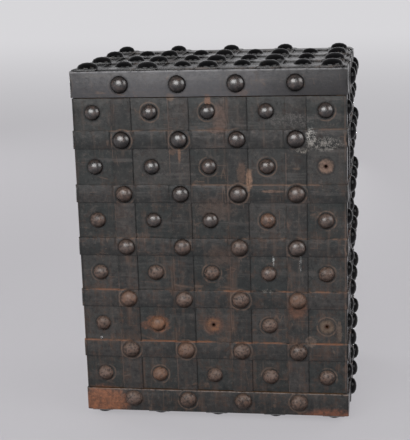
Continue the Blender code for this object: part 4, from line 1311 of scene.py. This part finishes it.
stud = bmesh.new()
drive_nails(stud, FRONT, [(KEYHOLE_X, KEYHOLE_Z - BASE_Z)], STUD, ON_CROSSING + 2 * SEAT, OF_IRON)
pin = spun(PIN_OUTLINE, PIN_SEGMENTS)
bmesh.ops.scale(pin, vec=(1, 1, pin_back - pin_front), verts=pin.verts)
pin_place = Matrix.Translation((KEYHOLE_X, pin_front, KEYHOLE_Z + PIN_LIFT))
bmesh.ops.transform(pin, matrix=pin_place @ Matrix.Rotation(-math.pi / 2, 4, "X"), verts=pin.verts)
join(stud, pin)
finish_piece("keyhole_stud_forged", stud, (FRONT_NAIL,), "keyhole_cover", "keyhole_stud")
print("swinging nail on its pin,", round(pin_back - pin_front, 4), "m long")

# %% [markdown]
# ## Boards, lock and fittings
#
# These solids already have the right shape, but their edges are perfectly sharp. A merged copy of each one
# gets a small bevel, wider on oak than on iron, so that its edges catch the light.

# %% Softened copies
OAK_EASE = 0.0012
IRON_EASE = 0.0005
SOLID_ANGLE = math.radians(40)
FLAT_ANGLE = math.radians(20)


def softened_copy(node, width, finish, body):
    shape = bmesh.new()
    shape.from_mesh(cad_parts[node].data)
    bmesh.ops.remove_doubles(shape, verts=shape.verts, dist=1e-5)
    soften(shape, width, SOLID_ANGLE)
    for face in shape.faces:
        face.material_index = 0
    return finish_piece(f"{node}_eased", shape, (finish,), body, node, FLAT_ANGLE)


for node, finish in (
    ("top_board", OAK_LYING), ("bottom_board", OAK_LYING), ("left_board", OAK_UPRIGHT_SIDE),
    ("right_board", OAK_UPRIGHT_SIDE), ("back_board", OAK_UPRIGHT_BACK), ("shelf", OAK_LYING),
    ("left_shelf_ledge", OAK_LEDGE), ("right_shelf_ledge", OAK_LEDGE),
):
    softened_copy(node, OAK_EASE, finish, "case")
softened_copy("door_board", OAK_EASE, OAK_UPRIGHT_BACK, "door")
for node in ("strike_plate", "upper_pivot_socket", "lower_pivot_socket"):
    softened_copy(node, IRON_EASE, LOCK_IRON, "case")
for node in ("upper_pivot_pin", "lower_pivot_pin", "lock_case", "lower_bolt_guide", "upper_bolt_guide"):
    softened_copy(node, IRON_EASE, LOCK_IRON, "door")
softened_copy("door_lining", IRON_EASE, LINING_IRON, "door")
softened_copy("hinge_edge_plate", IRON_EASE, WORN_IRON, "door")
for node in ("bolt_bar", "lower_bolt", "middle_bolt", "upper_bolt"):
    softened_copy(node, IRON_EASE, LOCK_IRON, "boltwork")
print("softened copies made")

# %% [markdown]
# ## Rivets inside the door
#
# The lining is riveted to the door all round, and a cover closes the lock. The smith has hammered each
# rivet to a low button. They are made as the nails are, only smaller and flatter.

# %% Rivets and lock cover
LINING_RIVET = (0.0085, 0.0032)
LINING_INSET = 0.020
LINING_GRID = (5, 8)
LOCK_RIVET = (0.0065, 0.0026)
LOCK_INSET = 0.017
LOCK_GRID = (2, 3)
COVER_INSET = 0.007
COVER_RISE = 0.0016


def inside(node):
    return Side((0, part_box(node)[1].y, BASE_Z), (-1, 0, 0), (0, 0, 1))


def rivet_seats(node, inset, columns, rows):
    """Places along a node's four edges, as far in from them as the inset says."""
    along, up = inside(node).extent(node)
    lines = spread(along[0] + inset, along[1] - inset, columns)
    levels = spread(up[0] + inset, up[1] - inset, rows)
    ends = {lines[0], lines[-1]}, {levels[0], levels[-1]}
    return [(line, level) for line in lines for level in levels if line in ends[0] or level in ends[1]]


rivets = bmesh.new()
lining_seats = rivet_seats("door_lining", LINING_INSET, *LINING_GRID)
drive_nails(rivets, inside("door_lining"), lining_seats, LINING_RIVET, 0.0, OF_IRON)
finish_piece("lining_rivets", rivets, (LINING_IRON,), "door", None)

lock_back = inside("lock_case")
cover_along, cover_up = (
    (low + COVER_INSET, high - COVER_INSET) for low, high in lock_back.extent("lock_case")
)
cover = fresh(laid(plate(cover_along, cover_up, COVER_RISE + SEAT), lock_back, COVER_RISE))
lock_seats = rivet_seats("lock_case", LOCK_INSET, *LOCK_GRID)
drive_nails(cover, lock_back, lock_seats, LOCK_RIVET, COVER_RISE, OF_IRON)
finish_piece("lock_cover", cover, (LOCK_IRON,), "door", None)
print("rivets:", len(lining_seats), "on the lining and", len(lock_seats), "on the lock")

# %% [markdown]
# ## The studio
#
# The box stands on a pale floor that runs on to the horizon, so it is also the background. A soft box in
# front gives each nail its highlight, and one on the right lights that side. Two more light the back, and
# nothing mirrors those. The highlights on the nails of the back and the left side come from two low strips,
# which stay below the level of the top, so the glossy nails up there don't mirror them. A pale sky fills the
# shadows. The camera, and reflections, see the floor a little lighter than the lamps make it, so it stays
# pale far away.

# %% Floor
FLOOR_REACH = 60.0
FLOOR_SEGMENTS = 64
FLOOR_NEAR = (196, 194, 198)
FLOOR_FAR = (246, 245, 248)
FLOOR_FADE = (0.5, 12.0)
FLOOR_GLOW = 0.68

ground = bmesh.new()
bmesh.ops.create_circle(ground, cap_ends=True, segments=FLOOR_SEGMENTS, radius=FLOOR_REACH)
floor = placed("studio_floor", mesh_of(ground, "studio_floor"))

floor_finish, floor_shader, floor_place = new_finish("pale_floor")
rays = floor_finish.node_tree.nodes.new("ShaderNodeLightPath").outputs
seen = Wire(rays["Is Camera Ray"]) | Wire(rays["Is Glossy Ray"]) | Wire(rays["Is Transmission Ray"])
floor_colour = blend(rising(axes(floor_place)[Y_AXIS], *FLOOR_FADE), FLOOR_NEAR, FLOOR_FAR)
plug(floor_shader, Base_Color=floor_colour, Roughness=0.9, Specular_IOR_Level=0.1)
glow = seen.node("ShaderNodeEmission", {}, {"Color": floor_colour})
lit = {0: seen * FLOOR_GLOW, 1: Wire(floor_shader.outputs[0]), 2: glow}
plug(floor_finish.node_tree.nodes["Material Output"], Surface=seen.node("ShaderNodeMixShader", {}, lit))
floor.data.materials.append(floor_finish)
print("floor:", FLOOR_REACH, "m to its edge")

# %% Sky and lamps
HORIZON = (0.675, 0.67, 0.685, 1.0)
ZENITH = (0.16, 0.16, 0.165, 1.0)
SKY_FADE = (0.0, 0.34)
# Each lamp: name, place, size, watts, beam in degrees, and whether surfaces mirror it
LAMPS = (
    ("front_soft_box", (-0.75, -2.85, 1.50), (2.10, 1.45), 56.0, 180, True),
    ("right_soft_box", (2.60, -1.50, 1.75), (2.30, 1.80), 40.0, 180, True),
    ("left_rear_soft_box", (-2.90, 2.10, 1.80), (3.00, 2.20), 46.0, 180, False),
    ("right_rear_soft_box", (2.90, 2.10, 1.80), (3.00, 2.20), 42.0, 180, False),
    ("rear_strip", (0.0, 3.20, 0.28), (0.55, 0.45), 4.5, 50, True),
    ("left_strip", (-3.00, 0.80, 0.40), (0.70, 0.45), 4.5, 50, True),
)
LAMP_TARGET = Vector((0, -0.2, 0.45))

world = bpy.data.worlds.new("studio_sky")
bpy.context.scene.world = world
world.use_nodes = True
sky = world.node_tree
direction = Wire(sky.nodes.new("ShaderNodeTexCoord").outputs["Generated"])
shade = blend(rising(axes(direction)[Z_AXIS], *SKY_FADE), HORIZON, ZENITH)
plug(sky.nodes["Background"], Color=shade)
for name, place, size, power, beam, mirrored in LAMPS:
    lamp = bpy.data.lights.new(name, "AREA")
    lamp.shape = "RECTANGLE"
    lamp.size, lamp.size_y = size
    lamp.energy, lamp.spread = power, math.radians(beam)
    holder = placed(name, lamp)
    holder.location = place
    holder.rotation_euler = (LAMP_TARGET - Vector(place)).to_track_quat("-Z", "Y").to_euler()
    holder.visible_camera, holder.visible_glossy = False, mirrored
bpy.context.scene.view_settings.view_transform = "Standard"
print("lamps:", len(LAMPS))
